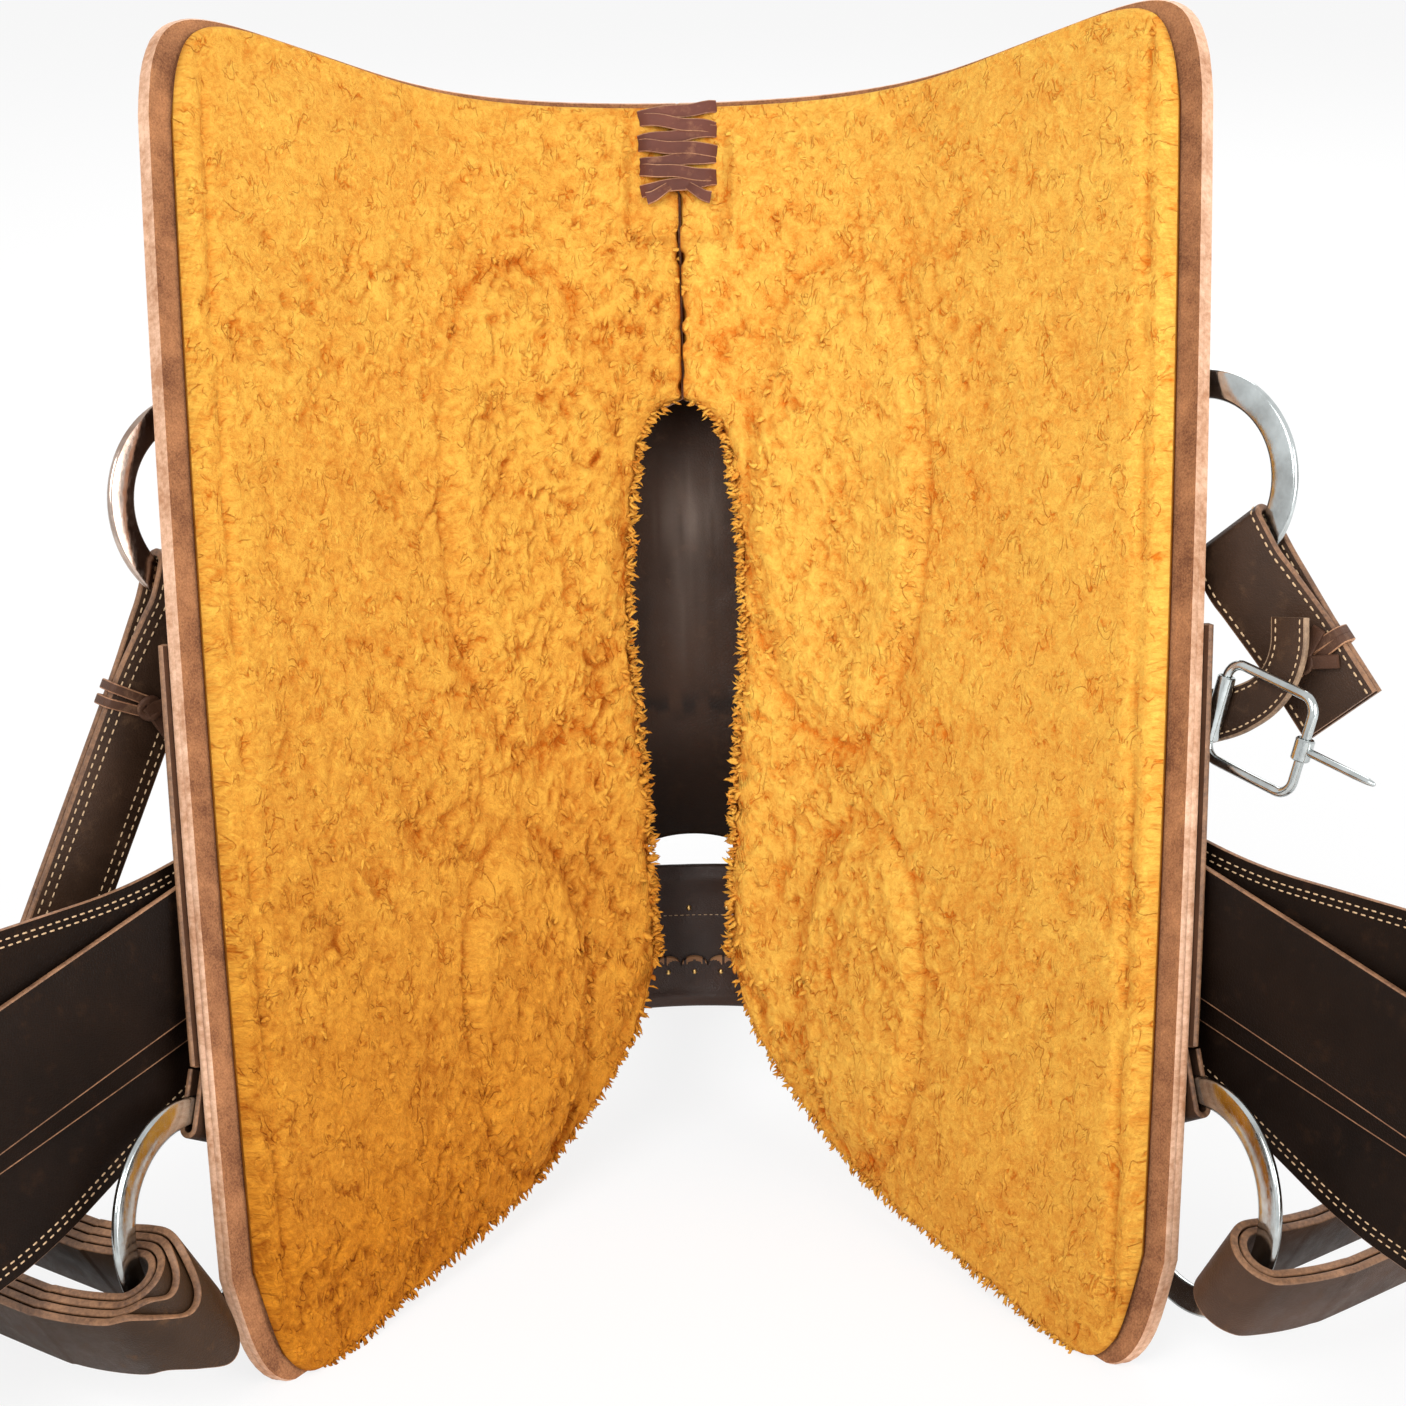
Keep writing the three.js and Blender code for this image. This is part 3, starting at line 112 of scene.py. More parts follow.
# The studio. A pale floor runs out to a white surround, which lights the saddle less than it shows, and three
# soft lamps light it at a level at which a colour renders about as it is written.
WHITE = (1.0, 1.0, 1.0, 1.0)
SURROUND_LIGHT = 0.62
FLOOR_GLOW = 0.8
FLOOR_HALF = 9
AIM_HEIGHT = 0.35


def fill_in(tree, node, wires):
    """Fills each named input of a node with a value or a wire."""
    for key, value in wires.items():
        if isinstance(value, bpy.types.NodeSocket):
            tree.links.new(value, node.inputs[key])
        else:
            node.inputs[key].default_value = value


def add_node(tree, kind, wires=None, **settings):
    """Adds one shader node, sets its properties, and fills its inputs."""
    made = tree.nodes.new(kind)
    for key, value in settings.items():
        setattr(made, key, value)
    fill_in(tree, made, wires or {})
    return made


def maths(tree, operation, *values):
    """The result of one sum on values or wires."""
    return add_node(tree, "ShaderNodeMath", dict(enumerate(values)), operation=operation).outputs[0]


def new_finish(name, settings=None):
    """A material with only its output and its Principled shader, whose inputs are filled."""
    material = bpy.data.materials.new(name)
    material.use_nodes = True
    tree = material.node_tree
    tree.nodes.clear()
    shader = add_node(tree, "ShaderNodeBsdfPrincipled", settings)
    add_node(tree, "ShaderNodeOutputMaterial", {"Surface": shader.outputs["BSDF"]})
    return material, tree, shader


def unit(vectors):
    """Each vector at a length of 1."""
    return vectors / np.linalg.norm(vectors, axis=-1, keepdims=True)


studio = bpy.data.worlds.new("studio")
bpy.context.scene.world = studio
studio.use_nodes = True
tree = studio.node_tree
tree.nodes.clear()
rays = add_node(tree, "ShaderNodeLightPath").outputs
seen = maths(tree, "MAXIMUM", rays["Is Camera Ray"], rays["Is Transmission Ray"])
seen = maths(tree, "MAXIMUM", seen, rays["Is Glossy Ray"])
dim, bright = (add_node(tree, "ShaderNodeBackground", {"Color": WHITE, "Strength": strength}).outputs[0]
               for strength in (SURROUND_LIGHT, 1.0))
surround = add_node(tree, "ShaderNodeMixShader", {0: seen, 1: dim, 2: bright})
add_node(tree, "ShaderNodeOutputWorld", {"Surface": surround.outputs[0]})

floor_mesh = bpy.data.meshes.new("floor")
floor_mesh.from_pydata([(x * FLOOR_HALF, y * FLOOR_HALF, 0) for x, y in ((-1, -1), (1, -1), (1, 1), (-1, 1))],
                       [], [(0, 1, 2, 3)])
floor = add_object("floor", floor_mesh)
floor_paint, tree, shader = new_finish("floor_paint", {"Base Color": (0.95, 0.95, 0.95, 1), "Roughness": 0.9})
glow = add_node(tree, "ShaderNodeEmission", {"Color": WHITE, "Strength": 1.0})
share = maths(tree, "MULTIPLY", add_node(tree, "ShaderNodeLightPath").outputs["Is Camera Ray"], FLOOR_GLOW)
pale = add_node(tree, "ShaderNodeMixShader", {0: share, 1: shader.outputs[0], 2: glow.outputs[0]})
fill_in(tree, tree.nodes["Material Output"], {"Surface": pale.outputs[0]})
floor_mesh.materials.append(floor_paint)

for name, place, aim, power, size in (("key_lamp", (-1.1, -2.1, 2.3), (0, 0.1, AIM_HEIGHT), 55, 1.6),
                                      ("fill_lamp", (1.9, -1.7, 1.2), (0, 0.1, AIM_HEIGHT), 42, 1.8),
                                      ("rear_lamp", (0.4, 2.6, 2.2), (0, 0.2, AIM_HEIGHT), 38, 2.0)):
    lamp = add_object(name, bpy.data.lights.new(name, "AREA"))
    lamp.data.energy = power
    lamp.data.size = size
    ahead = unit(np.array(aim) - np.array(place))
    aside = unit(np.cross(ahead, (0, 0, 1)))
    lamp.matrix_world = standing([aside, np.cross(aside, ahead), -ahead], place)
bpy.context.scene.view_settings.view_transform = "Standard"

# The horse's back, to which the skirts are blocked: a round spine with a straight slope on each side, wide
# and flat at the rear and narrow and steep at the withers.
STATION_REACH = 355.0


def lengthwise(rear, middle, front, f):
    """The parabola through a rear, a middle and a front value, read at a forward distance."""
    share = f / STATION_REACH
    return middle + (front - rear) / 2 * share + ((front + rear) / 2 - middle) * share ** 2


def side_slope(f):
    """How steep the back's sides are at a forward distance, in radians."""
    return np.radians(lengthwise(44.0, 48.0, 52.0, f))


def on_back(arc, f, lift):
    """A point over the back: arc mm round it from the spine, f mm forward and lift mm squarely off it."""
    arc, f, lift = np.broadcast_arrays(arc, f, lift)
    radius = lengthwise(240.0, 165.0, 105.0, f)
    bend = np.minimum(np.abs(arc) / radius, side_slope(f))
    straight = np.abs(arc) - bend * radius
    out = (radius + lift) * np.sin(bend) + straight * np.cos(bend)
    ridge = 245.0 + 20.0 * (f / STATION_REACH) ** 2
    rise = ridge - radius + (radius + lift) * np.cos(bend) - straight * np.sin(bend)
    return xyz(np.sign(arc) * out, rise, -f)


# Skirts. Each side is two layers of thick saddle leather, sewn together at their edges: the outer skirt
# with its grain side out, and a plug layer whose rough flesh side shows round the fleece.
SIDES = (("left", -1), ("right", 1))
SKIRT_DROP = 352.0
REAR_REACH = 362.0
FRONT_REACH = 360.0
PLUG = 4.5
TOUCH = 0.3
SKIRT_TOP = PLUG + 2 * TOUCH + 5.0
REAR_EDGE = np.array([[0, 0.994], [0.31, 0.994], [0.5, 1.008], [0.7, 1.039], [0.886, 1.066], [0.963, 1.044],
                      [0.994, 0.975], [1, 0.9]])
FRONT_EDGE = np.array([[0, 0.417], [0.024, 0.492], [0.039, 0.533], [0.115, 0.639], [0.23, 0.739],
                       [0.373, 0.808], [0.509, 0.856], [0.69, 0.925], [0.812, 0.978], [0.903, 1],
                       [0.964, 0.95], [1, 0.83]])
OPENING = np.array([[-0.503, 0], [-0.49, 0.35], [-0.453, 0.68], [-0.333, 0.87], [-0.172, 0.95],
                    [-0.056, 0.92], [0.056, 0.79], [0.128, 0.74], [0.278, 0.66], [0.38, 0.63], [0.417, 0.58]])


def eased(table):
    """Cuts the corners off a table's polyline three times over, and keeps its ends."""
    for _ in range(3):
        inner = np.stack([0.75 * table[:-1] + 0.25 * table[1:], 0.25 * table[:-1] + 0.75 * table[1:]], 1)
        table = np.concatenate([table[:1], inner.reshape(-1, 2)[1:-1], table[-1:]])
    return table


ROUND_REAR, ROUND_FRONT, ROUND_OPENING = eased(REAR_EDGE), eased(FRONT_EDGE), eased(OPENING)


def smooth(share):
    """Eases a share from 0 to 1 with level ends."""
    held = np.clip(share, 0.0, 1.0)
    return held * held * (3 - 2 * held)


def opening_half(f):
    """Half the width of the gap between the skirts at a forward distance."""
    return np.maximum(0.8, 38.0 * np.interp(f / FRONT_REACH, ROUND_OPENING[:, 0], ROUND_OPENING[:, 1]))


def skirt_ends(column, end_inset):
    """The forward distances of a skirt's rear and front ends, a share of the way out and inset by so much."""
    return (end_inset - REAR_REACH * np.interp(column, ROUND_REAR[:, 0], ROUND_REAR[:, 1]),
            FRONT_REACH * np.interp(column, ROUND_FRONT[:, 0], ROUND_FRONT[:, 1]) - end_inset)


def skirt_place(column, row, side_inset, end_inset):
    """Shares across and along one skirt to its arc and forward distance, inset from its edges."""
    rear, front = skirt_ends(column, end_inset)
    f = rear + (front - rear) * row
    inner = opening_half(f)
    return inner + (SKIRT_DROP - side_inset - inner) * column, f


def front_edge_arc(f):
    """How far out the skirt's front edge lies at a forward distance."""
    inner = opening_half(FRONT_REACH)
    return inner + (SKIRT_DROP - inner) * np.interp(f / FRONT_REACH, FRONT_EDGE[:-2, 1], FRONT_EDGE[:-2, 0])


def even(count):
    """Shares from 0 to 1 in equal steps."""
    return np.linspace(0.0, 1.0, count + 1)


def dense_ends(count, power=1.6):
    """Shares from 0 to 1 that crowd towards both ends."""
    share = 2 * even(count) - 1
    return (np.sign(share) * (1 - (1 - np.abs(share)) ** power) + 1) / 2


def sheet_body(under, over, rim=4, swell=0.25):
    """A closed sheet between two grids of points. Its rim is rounded: between the grids' borders lie loops
    that bulge outward by a share of the thickness. Gives points, quads and 0 over, 1 under or 2 rim."""
    rows, columns = under.shape[:2]
    index = np.arange(rows * columns).reshape(rows, columns)
    border = np.concatenate([index[0, :-1], index[:-1, -1], index[-1, :0:-1], index[:0:-1, 0]])
    r, c = np.divmod(border, columns)
    inner = index[np.clip(r, 1, rows - 2), np.clip(c, 1, columns - 2)]
    low, high = under.reshape(-1, 3), over.reshape(-1, 3)
    out = (low[border] + high[border]) - (low[inner] + high[inner])
    out /= np.maximum(np.linalg.norm(out, axis=1, keepdims=True), 1e-9)
    thick = np.linalg.norm(high[border] - low[border], axis=1, keepdims=True)
    loops = [low[border] + (high[border] - low[border]) * k / rim
             + out * thick * swell * math.sin(math.pi * k / rim) for k in range(1, rim)]
    points = np.concatenate([low, high] + loops)
    base = rows * columns
    middle = [2 * base + k * len(border) + np.arange(len(border)) for k in range(rim - 1)]
    ring = [border, *middle, border + base]
    cell = np.stack([index[:-1, :-1], index[:-1, 1:], index[1:, 1:], index[1:, :-1]], -1).reshape(-1, 4)
    wall = [np.stack([a, b, np.roll(b, -1), np.roll(a, -1)], -1) for a, b in zip(ring[:-1], ring[1:])]
    quads = np.concatenate([cell + base, cell[:, ::-1]] + wall)
    which = np.repeat([0, 1, 2], [len(cell), len(cell), len(border) * rim])
    return points, quads, which


def make_piece(name, points, faces, finishes, body, which=None, crease=50.0, nodes=(), uv=None, fields=None):
    """Puts saddle-axis points and one or more arrays of faces into a mesh whose faces point outward, and
    makes it ride on a body and stand for CAD nodes. uv is a pair per point and a field a number per point."""
    groups = faces if isinstance(faces, list) else [faces]
    fan = np.concatenate([np.stack([g[:, 0], g[:, k], g[:, k + 1]], -1)
                          for g in groups for k in range(1, g.shape[1] - 1)])
    a, b, c = np.moveaxis((points - points.mean(0))[fan], 1, 0)
    volume = np.einsum("ij,ij->i", a, np.cross(b, c)).sum()
    if volume < 0:
        groups = [g[:, ::-1] for g in groups]
    loops = np.concatenate([g.ravel() for g in groups]).astype(np.int32)
    sizes = np.concatenate([np.full(len(g), g.shape[1]) for g in groups])
    mesh = bpy.data.meshes.new(name)
    mesh.vertices.add(len(points))
    mesh.vertices.foreach_set("co", stand(points).astype(np.float32).ravel())
    mesh.loops.add(len(loops))
    mesh.loops.foreach_set("vertex_index", loops)
    mesh.polygons.add(len(sizes))
    mesh.polygons.foreach_set("loop_start", np.concatenate([[0], np.cumsum(sizes)[:-1]]).astype(np.int32))
    if which is not None:
        mesh.polygons.foreach_set("material_index", np.asarray(which, np.int32))
    mesh.polygons.foreach_set("use_smooth", np.ones(len(sizes), bool))
    if uv is not None:
        layer = mesh.uv_layers.new(name="fibre")
        layer.data.foreach_set("uv", np.asarray(uv)[loops].astype(np.float32).ravel())
    for key, values in (fields or {}).items():
        held = mesh.attributes.new(key, "FLOAT", "POINT")
        held.data.foreach_set("value", np.asarray(values, np.float32).ravel())
    mesh.update(calc_edges=True)
    mesh.set_sharp_from_angle(angle=math.radians(crease))
    for finish in finishes:
        mesh.materials.append(finish)
    piece = add_object(name, mesh)
    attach(piece, body)
    if nodes:
        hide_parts(*nodes)
    return piece


def laid_sheet(name, node, arc, f, low, high, finishes, rim=4, swell=0.3, crease=50.0):
    """A sheet of the saddle between two lifts off the back. It has one finish, or one each for its upper
    side, its underside and its rim."""
    points, quads, which = sheet_body(on_back(arc, f, low), on_back(arc, f, high), rim, swell)
    which = which if len(finishes) > 1 else None
    return make_piece(name, points, quads, finishes, "saddle", which, crease, [node])


def new_group(name, inputs, outputs):
    """An empty shader node group with named inputs and outputs."""
    group = bpy.data.node_groups.new(name, "ShaderNodeTree")
    for label, kind, value in inputs:
        socket = group.interface.new_socket(label, in_out="INPUT", socket_type=kind)
        socket.default_value = value
    for label, kind in outputs:
        group.interface.new_socket(label, in_out="OUTPUT", socket_type=kind)
    return group, add_node(group, "NodeGroupInput"), add_node(group, "NodeGroupOutput")


# Leather grain: pebbles between fine creases, a mottle from oil and handling, and paler scuffs.
COLOUR, NUMBER = "NodeSocketColor", "NodeSocketFloat"


def noise(tree, place, scale, detail, **more):
    """A noise texture's value at a place."""
    wires = {"Vector": place, "Scale": scale, "Detail": detail, **more}
    return add_node(tree, "ShaderNodeTexNoise", wires).outputs["Fac"]


def ranged(tree, value, low, high, to_low=0.0, to_high=1.0):
    """A value stretched from one range to another, and held within it."""
    wires = {"Value": value, "From Min": low, "From Max": high, "To Min": to_low, "To Max": to_high}
    return add_node(tree, "ShaderNodeMapRange", wires).outputs[0]


def mixed(tree, factor, first, second):
    """Two colours mixed by a factor."""
    return add_node(tree, "ShaderNodeMix", {"Factor": factor, "A": first, "B": second},
                    data_type="RGBA").outputs["Result"]


def scaled(tree, vector, by):
    """A place stretched along each of its axes."""
    return add_node(tree, "ShaderNodeVectorMath", {0: vector, 1: by}, operation="MULTIPLY").outputs[0]


def field(tree, name):
    """The value of a mesh's field."""
    return add_node(tree, "ShaderNodeAttribute", attribute_name=name).outputs["Fac"]


def group_finish(name, group, inputs, strength, depth, fields=(), **settings):
    """A finish from a node group's colour, its roughness where it gives one, and its height as a bump. The
    group's inputs are values, or fields of the mesh."""
    finish, tree, shader = new_finish(name)
    made = add_node(tree, "ShaderNodeGroup", inputs, node_tree=group)
    fill_in(tree, made, {label: field(tree, label.lower()) for label in fields})
    bump = add_node(tree, "ShaderNodeBump", {"Height": made.outputs["Height"], "Strength": strength,
                                             "Distance": depth})
    fill_in(tree, shader, {"Normal": bump.outputs[0], "Base Color": made.outputs["Colour"]})
    if "Roughness" in made.outputs:
        fill_in(tree, shader, {"Roughness": made.outputs["Roughness"]})
    fill_in(tree, shader, {key.replace("_", " "): value for key, value in settings.items()})
    return finish


tree, given, result = new_group(
    "leather_grain",
    [("Leather", COLOUR, WHITE), ("Worn", COLOUR, WHITE), ("Pebbles", NUMBER, 700.0),
     ("Scuffing", NUMBER, 0.3)],
    [("Colour", COLOUR), ("Roughness", NUMBER), ("Height", NUMBER)])
grain_group = tree
place = add_node(tree, "ShaderNodeTexCoord").outputs["Object"]
pebble = add_node(tree, "ShaderNodeTexVoronoi", {"Vector": place, "Scale": given.outputs["Pebbles"]},
                  feature="DISTANCE_TO_EDGE")
crack = ranged(tree, pebble.outputs["Distance"], 0.0, 0.18)
oil = noise(tree, place, 17.0, 5.0, Roughness=0.6)
rub = noise(tree, place, 75.0, 6.0, Roughness=0.7)
scuff = ranged(tree, rub, 0.56, 0.75, 0.0, given.outputs["Scuffing"])
toned = add_node(tree, "ShaderNodeVectorMath", {0: given.outputs["Leather"]}, operation="SCALE")
fill_in(tree, toned, {"Scale": ranged(tree, oil, 0.3, 0.7, 0.62, 1.3)})
fill_in(tree, result, {
    "Colour": mixed(tree, scuff, toned.outputs[0], given.outputs["Worn"]),
    "Roughness": ranged(tree, rub, 0.3, 0.7, 0.36, 0.58),
    "Height": maths(tree, "MULTIPLY_ADD", rub, 0.9, maths(tree, "MULTIPLY", crack, 0.55))})


def grain_leather(name, leather, worn_colour, pebbles, scuffing, gloss, depth=0.0003):
    """Grain-side leather with its own colour, wear, gloss and pebble size in cells per metre."""
    inputs = {"Leather": (*leather, 1), "Worn": (*worn_colour, 1), "Pebbles": pebbles, "Scuffing": scuffing}
    return group_finish(name, grain_group, inputs, 0.55, depth, Specular_IOR_Level=gloss)


# Raw leather: a cut edge shows its pressed fibres in fine streaks, and a flesh side is nappy all over.
tree, given, result = new_group(
    "raw_leather",
    [("Light", COLOUR, WHITE), ("Dark", COLOUR, WHITE), ("Fibres", NUMBER, 500.0), ("Streak", NUMBER, 4.0)],
    [("Colour", COLOUR), ("Height", NUMBER)])
raw_group = tree
place = add_node(tree, "ShaderNodeTexCoord").outputs["Object"]
stretch = add_node(tree, "ShaderNodeCombineXYZ", {"X": given.outputs["Streak"], "Y": 1.0, "Z": 1.0})
fibre = noise(tree, scaled(tree, place, stretch.outputs[0]), given.outputs["Fibres"], 5.0, Roughness=0.7)
stain = noise(tree, place, 38.0, 4.0, Roughness=0.65)
level = ranged(tree, maths(tree, "ADD", fibre, stain), 0.75, 1.25)
fill_in(tree, result, {"Colour": mixed(tree, level, given.outputs["Dark"], given.outputs["Light"]),
                       "Height": fibre})


def raw_leather(name, light, dark, fibres=420.0, streak=1.0, depth=0.0003, roughness=0.55):
    """A cut edge, a flesh side or bare wood, from its light and dark tones."""
    inputs = {"Light": (*light, 1), "Dark": (*dark, 1), "Fibres": fibres, "Streak": streak}
    return group_finish(name, raw_group, inputs, 0.7, depth, Roughness=roughness)


skirt_grain = grain_leather("skirt_grain", (0.075, 0.034, 0.018), (0.17, 0.085, 0.042), 700.0, 0.3, 0.13,
                            0.00035)
tan_edge = raw_leather("tan_edge", (0.86, 0.54, 0.36), (0.46, 0.21, 0.1), 320.0, 0.35, 0.0003, 0.6)
dark_flesh = raw_leather("dark_flesh", (0.5, 0.22, 0.09), (0.15, 0.05, 0.018), 900.0, 1.0, 0.0008, 0.95)

column, row = np.meshgrid(dense_ends(60), dense_ends(110))
arc, f = skirt_place(column, row, 0.0, 0.0)
for name, side in SIDES:
    for layer, low, high in (("skirt_lining", 0.0, PLUG + TOUCH), ("skirt", PLUG + 1.2 * TOUCH, SKIRT_TOP)):
        laid_sheet(f"{layer}_leather_{name}", f"{layer}_{name}", side * arc, f, low, high,
                   [skirt_grain, dark_flesh, tan_edge], swell=0.22)


# Fleece. Curly sheepskin with a pile of some 15 mm, sewn under each skirt. It parts along ragged veins,
# swells over the pads of the tree's bars, and ends at its outer edge in a rolled welt.
WOOL_GAP = 1.2
RIM_INSET = 13.5
EDGE_INSET = 3.0
PILE, RIM_PILE, SKIN = 15.0, 8.0, 2.0
WOOL_SLANT = 0.6
TUFTS, FUZZ, NICKS, FOLDS, SWELLS = 2.8, 1.3, 2.0, 2.6, 2.4
WELT, WELT_GROOVE = 2.4, 2.6
PADS = ((106.0, -118.0, 66.0, 142.0), (124.0, 168.0, 52.0, 100.0))
PAD_WAVER, PAD_SWELL, PAD_GROOVE = 0.06, 6.0, 2.2
LACING_HALF, LACING_REAR, LACING_FRONT = 23.0, 357.0, 305.0


def lumps(u, v, size, seed):
    """Smooth random heights from 0 to 1, with knots a size apart."""
    table = np.random.default_rng(seed).random((256, 256))
    a, b = u / size, v / size
    i, j = np.floor(a).astype(int), np.floor(b).astype(int)
    s, t = smooth(a - i), smooth(b - j)
    near = table[i % 256, j % 256] * (1 - s) + table[(i + 1) % 256, j % 256] * s
    far = table[i % 256, (j + 1) % 256] * (1 - s) + table[(i + 1) % 256, (j + 1) % 256] * s
    return near * (1 - t) + far * t


def veins(u, v, size, seed, width):
    """Thin curved lines a size apart, from 0 to 1, where a lumpy height passes its middle value."""
    height = 0.7 * lumps(u, v, size, seed) + 0.3 * lumps(u, v, size * 0.43, seed + 50)
    return np.exp(-(((height - 0.5) / width) ** 2))


def pad_distances(arc, f):
    """How far a point lies from the middle of each of the bars' pads, as 1 on its wavering oval outline."""
    waver = PAD_WAVER * (lumps(arc, f, 45.0, 5) - 0.5)
    return [np.hypot((np.abs(arc) - pad_arc) / half_arc, (f - pad_f) / half_length) + waver
            for pad_arc, pad_f, half_arc, half_length in PADS]


def pad_swell(arc, f):
    """How far the fleece stands out over the bars' pads: an oval with a firm edge and a groove round it."""
    swell = np.max([smooth((1 - away) * 4.5) for away in pad_distances(arc, f)], axis=0)
    return PAD_SWELL * swell - PAD_GROOVE * pad_groove(arc, f)


def pad_groove(arc, f):
    """How deep in the groove round the bars' pads a point lies, from 0 to 1, with gaps here and there."""
    gaps = smooth(lumps(arc, f, 30.0, 6) * 3 - 0.3)
    return np.max([np.exp(-((away - 1.02) / 0.035) ** 2) * gaps for away in pad_distances(arc, f)], axis=0)


def round_over(away, radius):
    """The profile of a rounded edge: 0 at the edge, and 1 from one radius inwards."""
    return np.sqrt(1 - (1 - np.clip(away / radius, 0, 1)) ** 2)


def wool_surface(side, arc, f, inside, outside, ends):
    """The visible side of the fleece: its lift, and a value from 0 to 1 for the wool's colour that is painted
    shade: it follows how high in the pile each point is, is lower, so darker, in the nicks, folds and
    grooves, and is raised over the pads as painted light. The distances are those to the inner edge, the
    outer edge and the nearer end. The pile is thin at the rim and thinnest under the lacing. Tufts and fuzz
    raise it, and nicks and folds part it along slanting lines, all by how loose the wool is there; a welt and
    its groove run round the outer edge."""
    u, v = side * arc, f
    laced = smooth((36 - arc) / 8) * smooth((-f - LACING_FRONT + 34) / 8)
    pile = RIM_PILE + (PILE - RIM_PILE) * smooth(np.minimum(outside / 22, ends / 50))
    pile = pile + (RIM_PILE - 1.5 - pile) * laced
    along = v * np.cos(WOOL_SLANT) + side * u * np.sin(WOOL_SLANT) + 7.0 * (lumps(u, v, 16, 11) - 0.5)
    across = side * u * np.cos(WOOL_SLANT) - v * np.sin(WOOL_SLANT) + 9.0 * (lumps(u, v, 15, 12) - 0.5)
    loose = 0.45 + 0.65 * smooth(1.15 - inside / 170) + 0.7 * (lumps(u, v, 62, 13) - 0.5)
    loose = loose + (0.1 if side < 0 else -0.1) - 0.35 * smooth((-f - 250) / 90)
    loose = np.clip(loose, 0.12, 1.15)
    nicks = veins(across, along * 0.7, 8.0, 31, 0.1) * smooth(lumps(u, v, 9.0, 26) * 3.0 - 1.35)
    folds = veins(across, along * 0.8, 17.0, 33, 0.05) * smooth(lumps(u, v, 16.0, 27) * 3.0 - 1.3)
    tufts = lumps(across, along * 0.75, 5.6, 21) - 0.5
    fuzz = lumps(across, along * 0.8, 2.6, 23) - 0.5
    swells = lumps(u, v, 26, 24) - 0.5
    relief = loose * (TUFTS * tufts + FUZZ * fuzz - NICKS * nicks - FOLDS * folds) + SWELLS * swells
    groove = np.exp(-((outside - 12.5 - lumps(u, v, 30, 25)) / 1.7) ** 2)
    groove = groove * smooth(lumps(u, v, 22, 28) * 3 - 0.6)
    welt = WELT * np.exp(-((outside - 5.5) / 4.2) ** 2) - WELT_GROOVE * groove
    edge = round_over(inside, 13.0) * round_over(outside, 5.0) * round_over(ends, 6.0)
    out = pile - SKIN + pad_swell(arc, f) + relief * (1 - 0.8 * laced) + welt * (ends > 8)
    # Painted shade darkens the wool's colour in the nicks, the folds, the groove round the pads and the
    # welt's groove; the tops of the pads are painted lighter.
    dark = (0.34 * nicks + 0.38 * folds) * (0.35 + 0.65 * loose) + 0.3 * pad_groove(arc, f)
    high = 0.66 + loose * (0.4 * tufts + 0.3 * fuzz) + 0.2 * swells + 0.15 * fuzz - dark
    high = high + 0.1 * np.minimum(welt, 0) + 0.1 * (pad_swell(arc, f) > 3)
    return -WOOL_GAP - SKIN - out * edge, np.clip(high, 0, 1)


def wool_tone(side, f):
    """How bright the wool's colour is: brightest at the rear on the right, darkest in front on the left,
    partly from its dye and partly as painted light and shade.
    """
    share = np.clip((f / FRONT_REACH + 1) / 2, 0, 1)
    return np.where(side < 0, np.interp(share, [0, 0.5, 1], [0.8, 0.58, -0.12]),
                    np.interp(share, [0, 0.5, 1], [1.05, 0.95, 0.56]))


# The wool's colour runs from deep orange-brown to golden by a painted-shade value: the mesh's depth field,
# which is painted shade in the pile's hollows, with fine fibre noise, and thin creases that are painted
# darker as painted shade.
tree, given, result = new_group(
    "wool_fibre",
    [("Depth", NUMBER, 0.5), ("Tone", NUMBER, 0.5)], [("Colour", COLOUR), ("Height", NUMBER)])
wool_group = tree
place = add_node(tree, "ShaderNodeTexCoord").outputs["UV"]
wave = noise(tree, place, 420.0, 4.0, Roughness=0.7, Distortion=1.6)
curl = noise(tree, place, 150.0, 4.0, Roughness=0.65, Distortion=1.2)
patch = noise(tree, place, 14.0, 3.0)
frizz = maths(tree, "MULTIPLY_ADD", curl, 1.5, given.outputs["Depth"])
bent = add_node(tree, "ShaderNodeMapping", {"Vector": place, "Rotation": (0, 0, WOOL_SLANT),
                                            "Scale": (1.0, 0.62, 1.0)})
line = noise(tree, bent.outputs[0], 105.0, 2.0, Distortion=1.0)
off_line = maths(tree, "ABSOLUTE", maths(tree, "SUBTRACT", line, 0.5))
held = ranged(tree, noise(tree, place, 75.0, 1.0), 0.47, 0.6)
crease = maths(tree, "MULTIPLY", ranged(tree, off_line, 0.0, 0.035, 1.0, 0.0), held)
rise = maths(tree, "MULTIPLY_ADD", wave, 1.2, frizz)
deep = ranged(tree, maths(tree, "MULTIPLY_ADD", crease, -0.55, rise), 1.25, 2.35)
# The tone field with a coarse noise: partly dye and partly painted light and shade across the fleece.
dye_and_painted_light = ranged(tree, maths(tree, "MULTIPLY_ADD", patch, 0.3, given.outputs["Tone"]), 0.15, 1.15)
low = mixed(tree, dye_and_painted_light, (0.24, 0.05, 0.001, 1), (0.78, 0.21, 0.015, 1))
high = mixed(tree, dye_and_painted_light, (0.68, 0.25, 0.018, 1), (1.0, 0.6, 0.105, 1))
hair = maths(tree, "MULTIPLY_ADD", curl, 0.8, wave)
fill_in(tree, result, {"Colour": mixed(tree, deep, low, high),
                       "Height": maths(tree, "MULTIPLY_ADD", crease, -0.6, hair)})


golden_wool = group_finish("golden_wool", wool_group, {}, 0.9, 0.0016, ("Depth", "Tone"), Roughness=1.0,
                           Specular_IOR_Level=0.1)


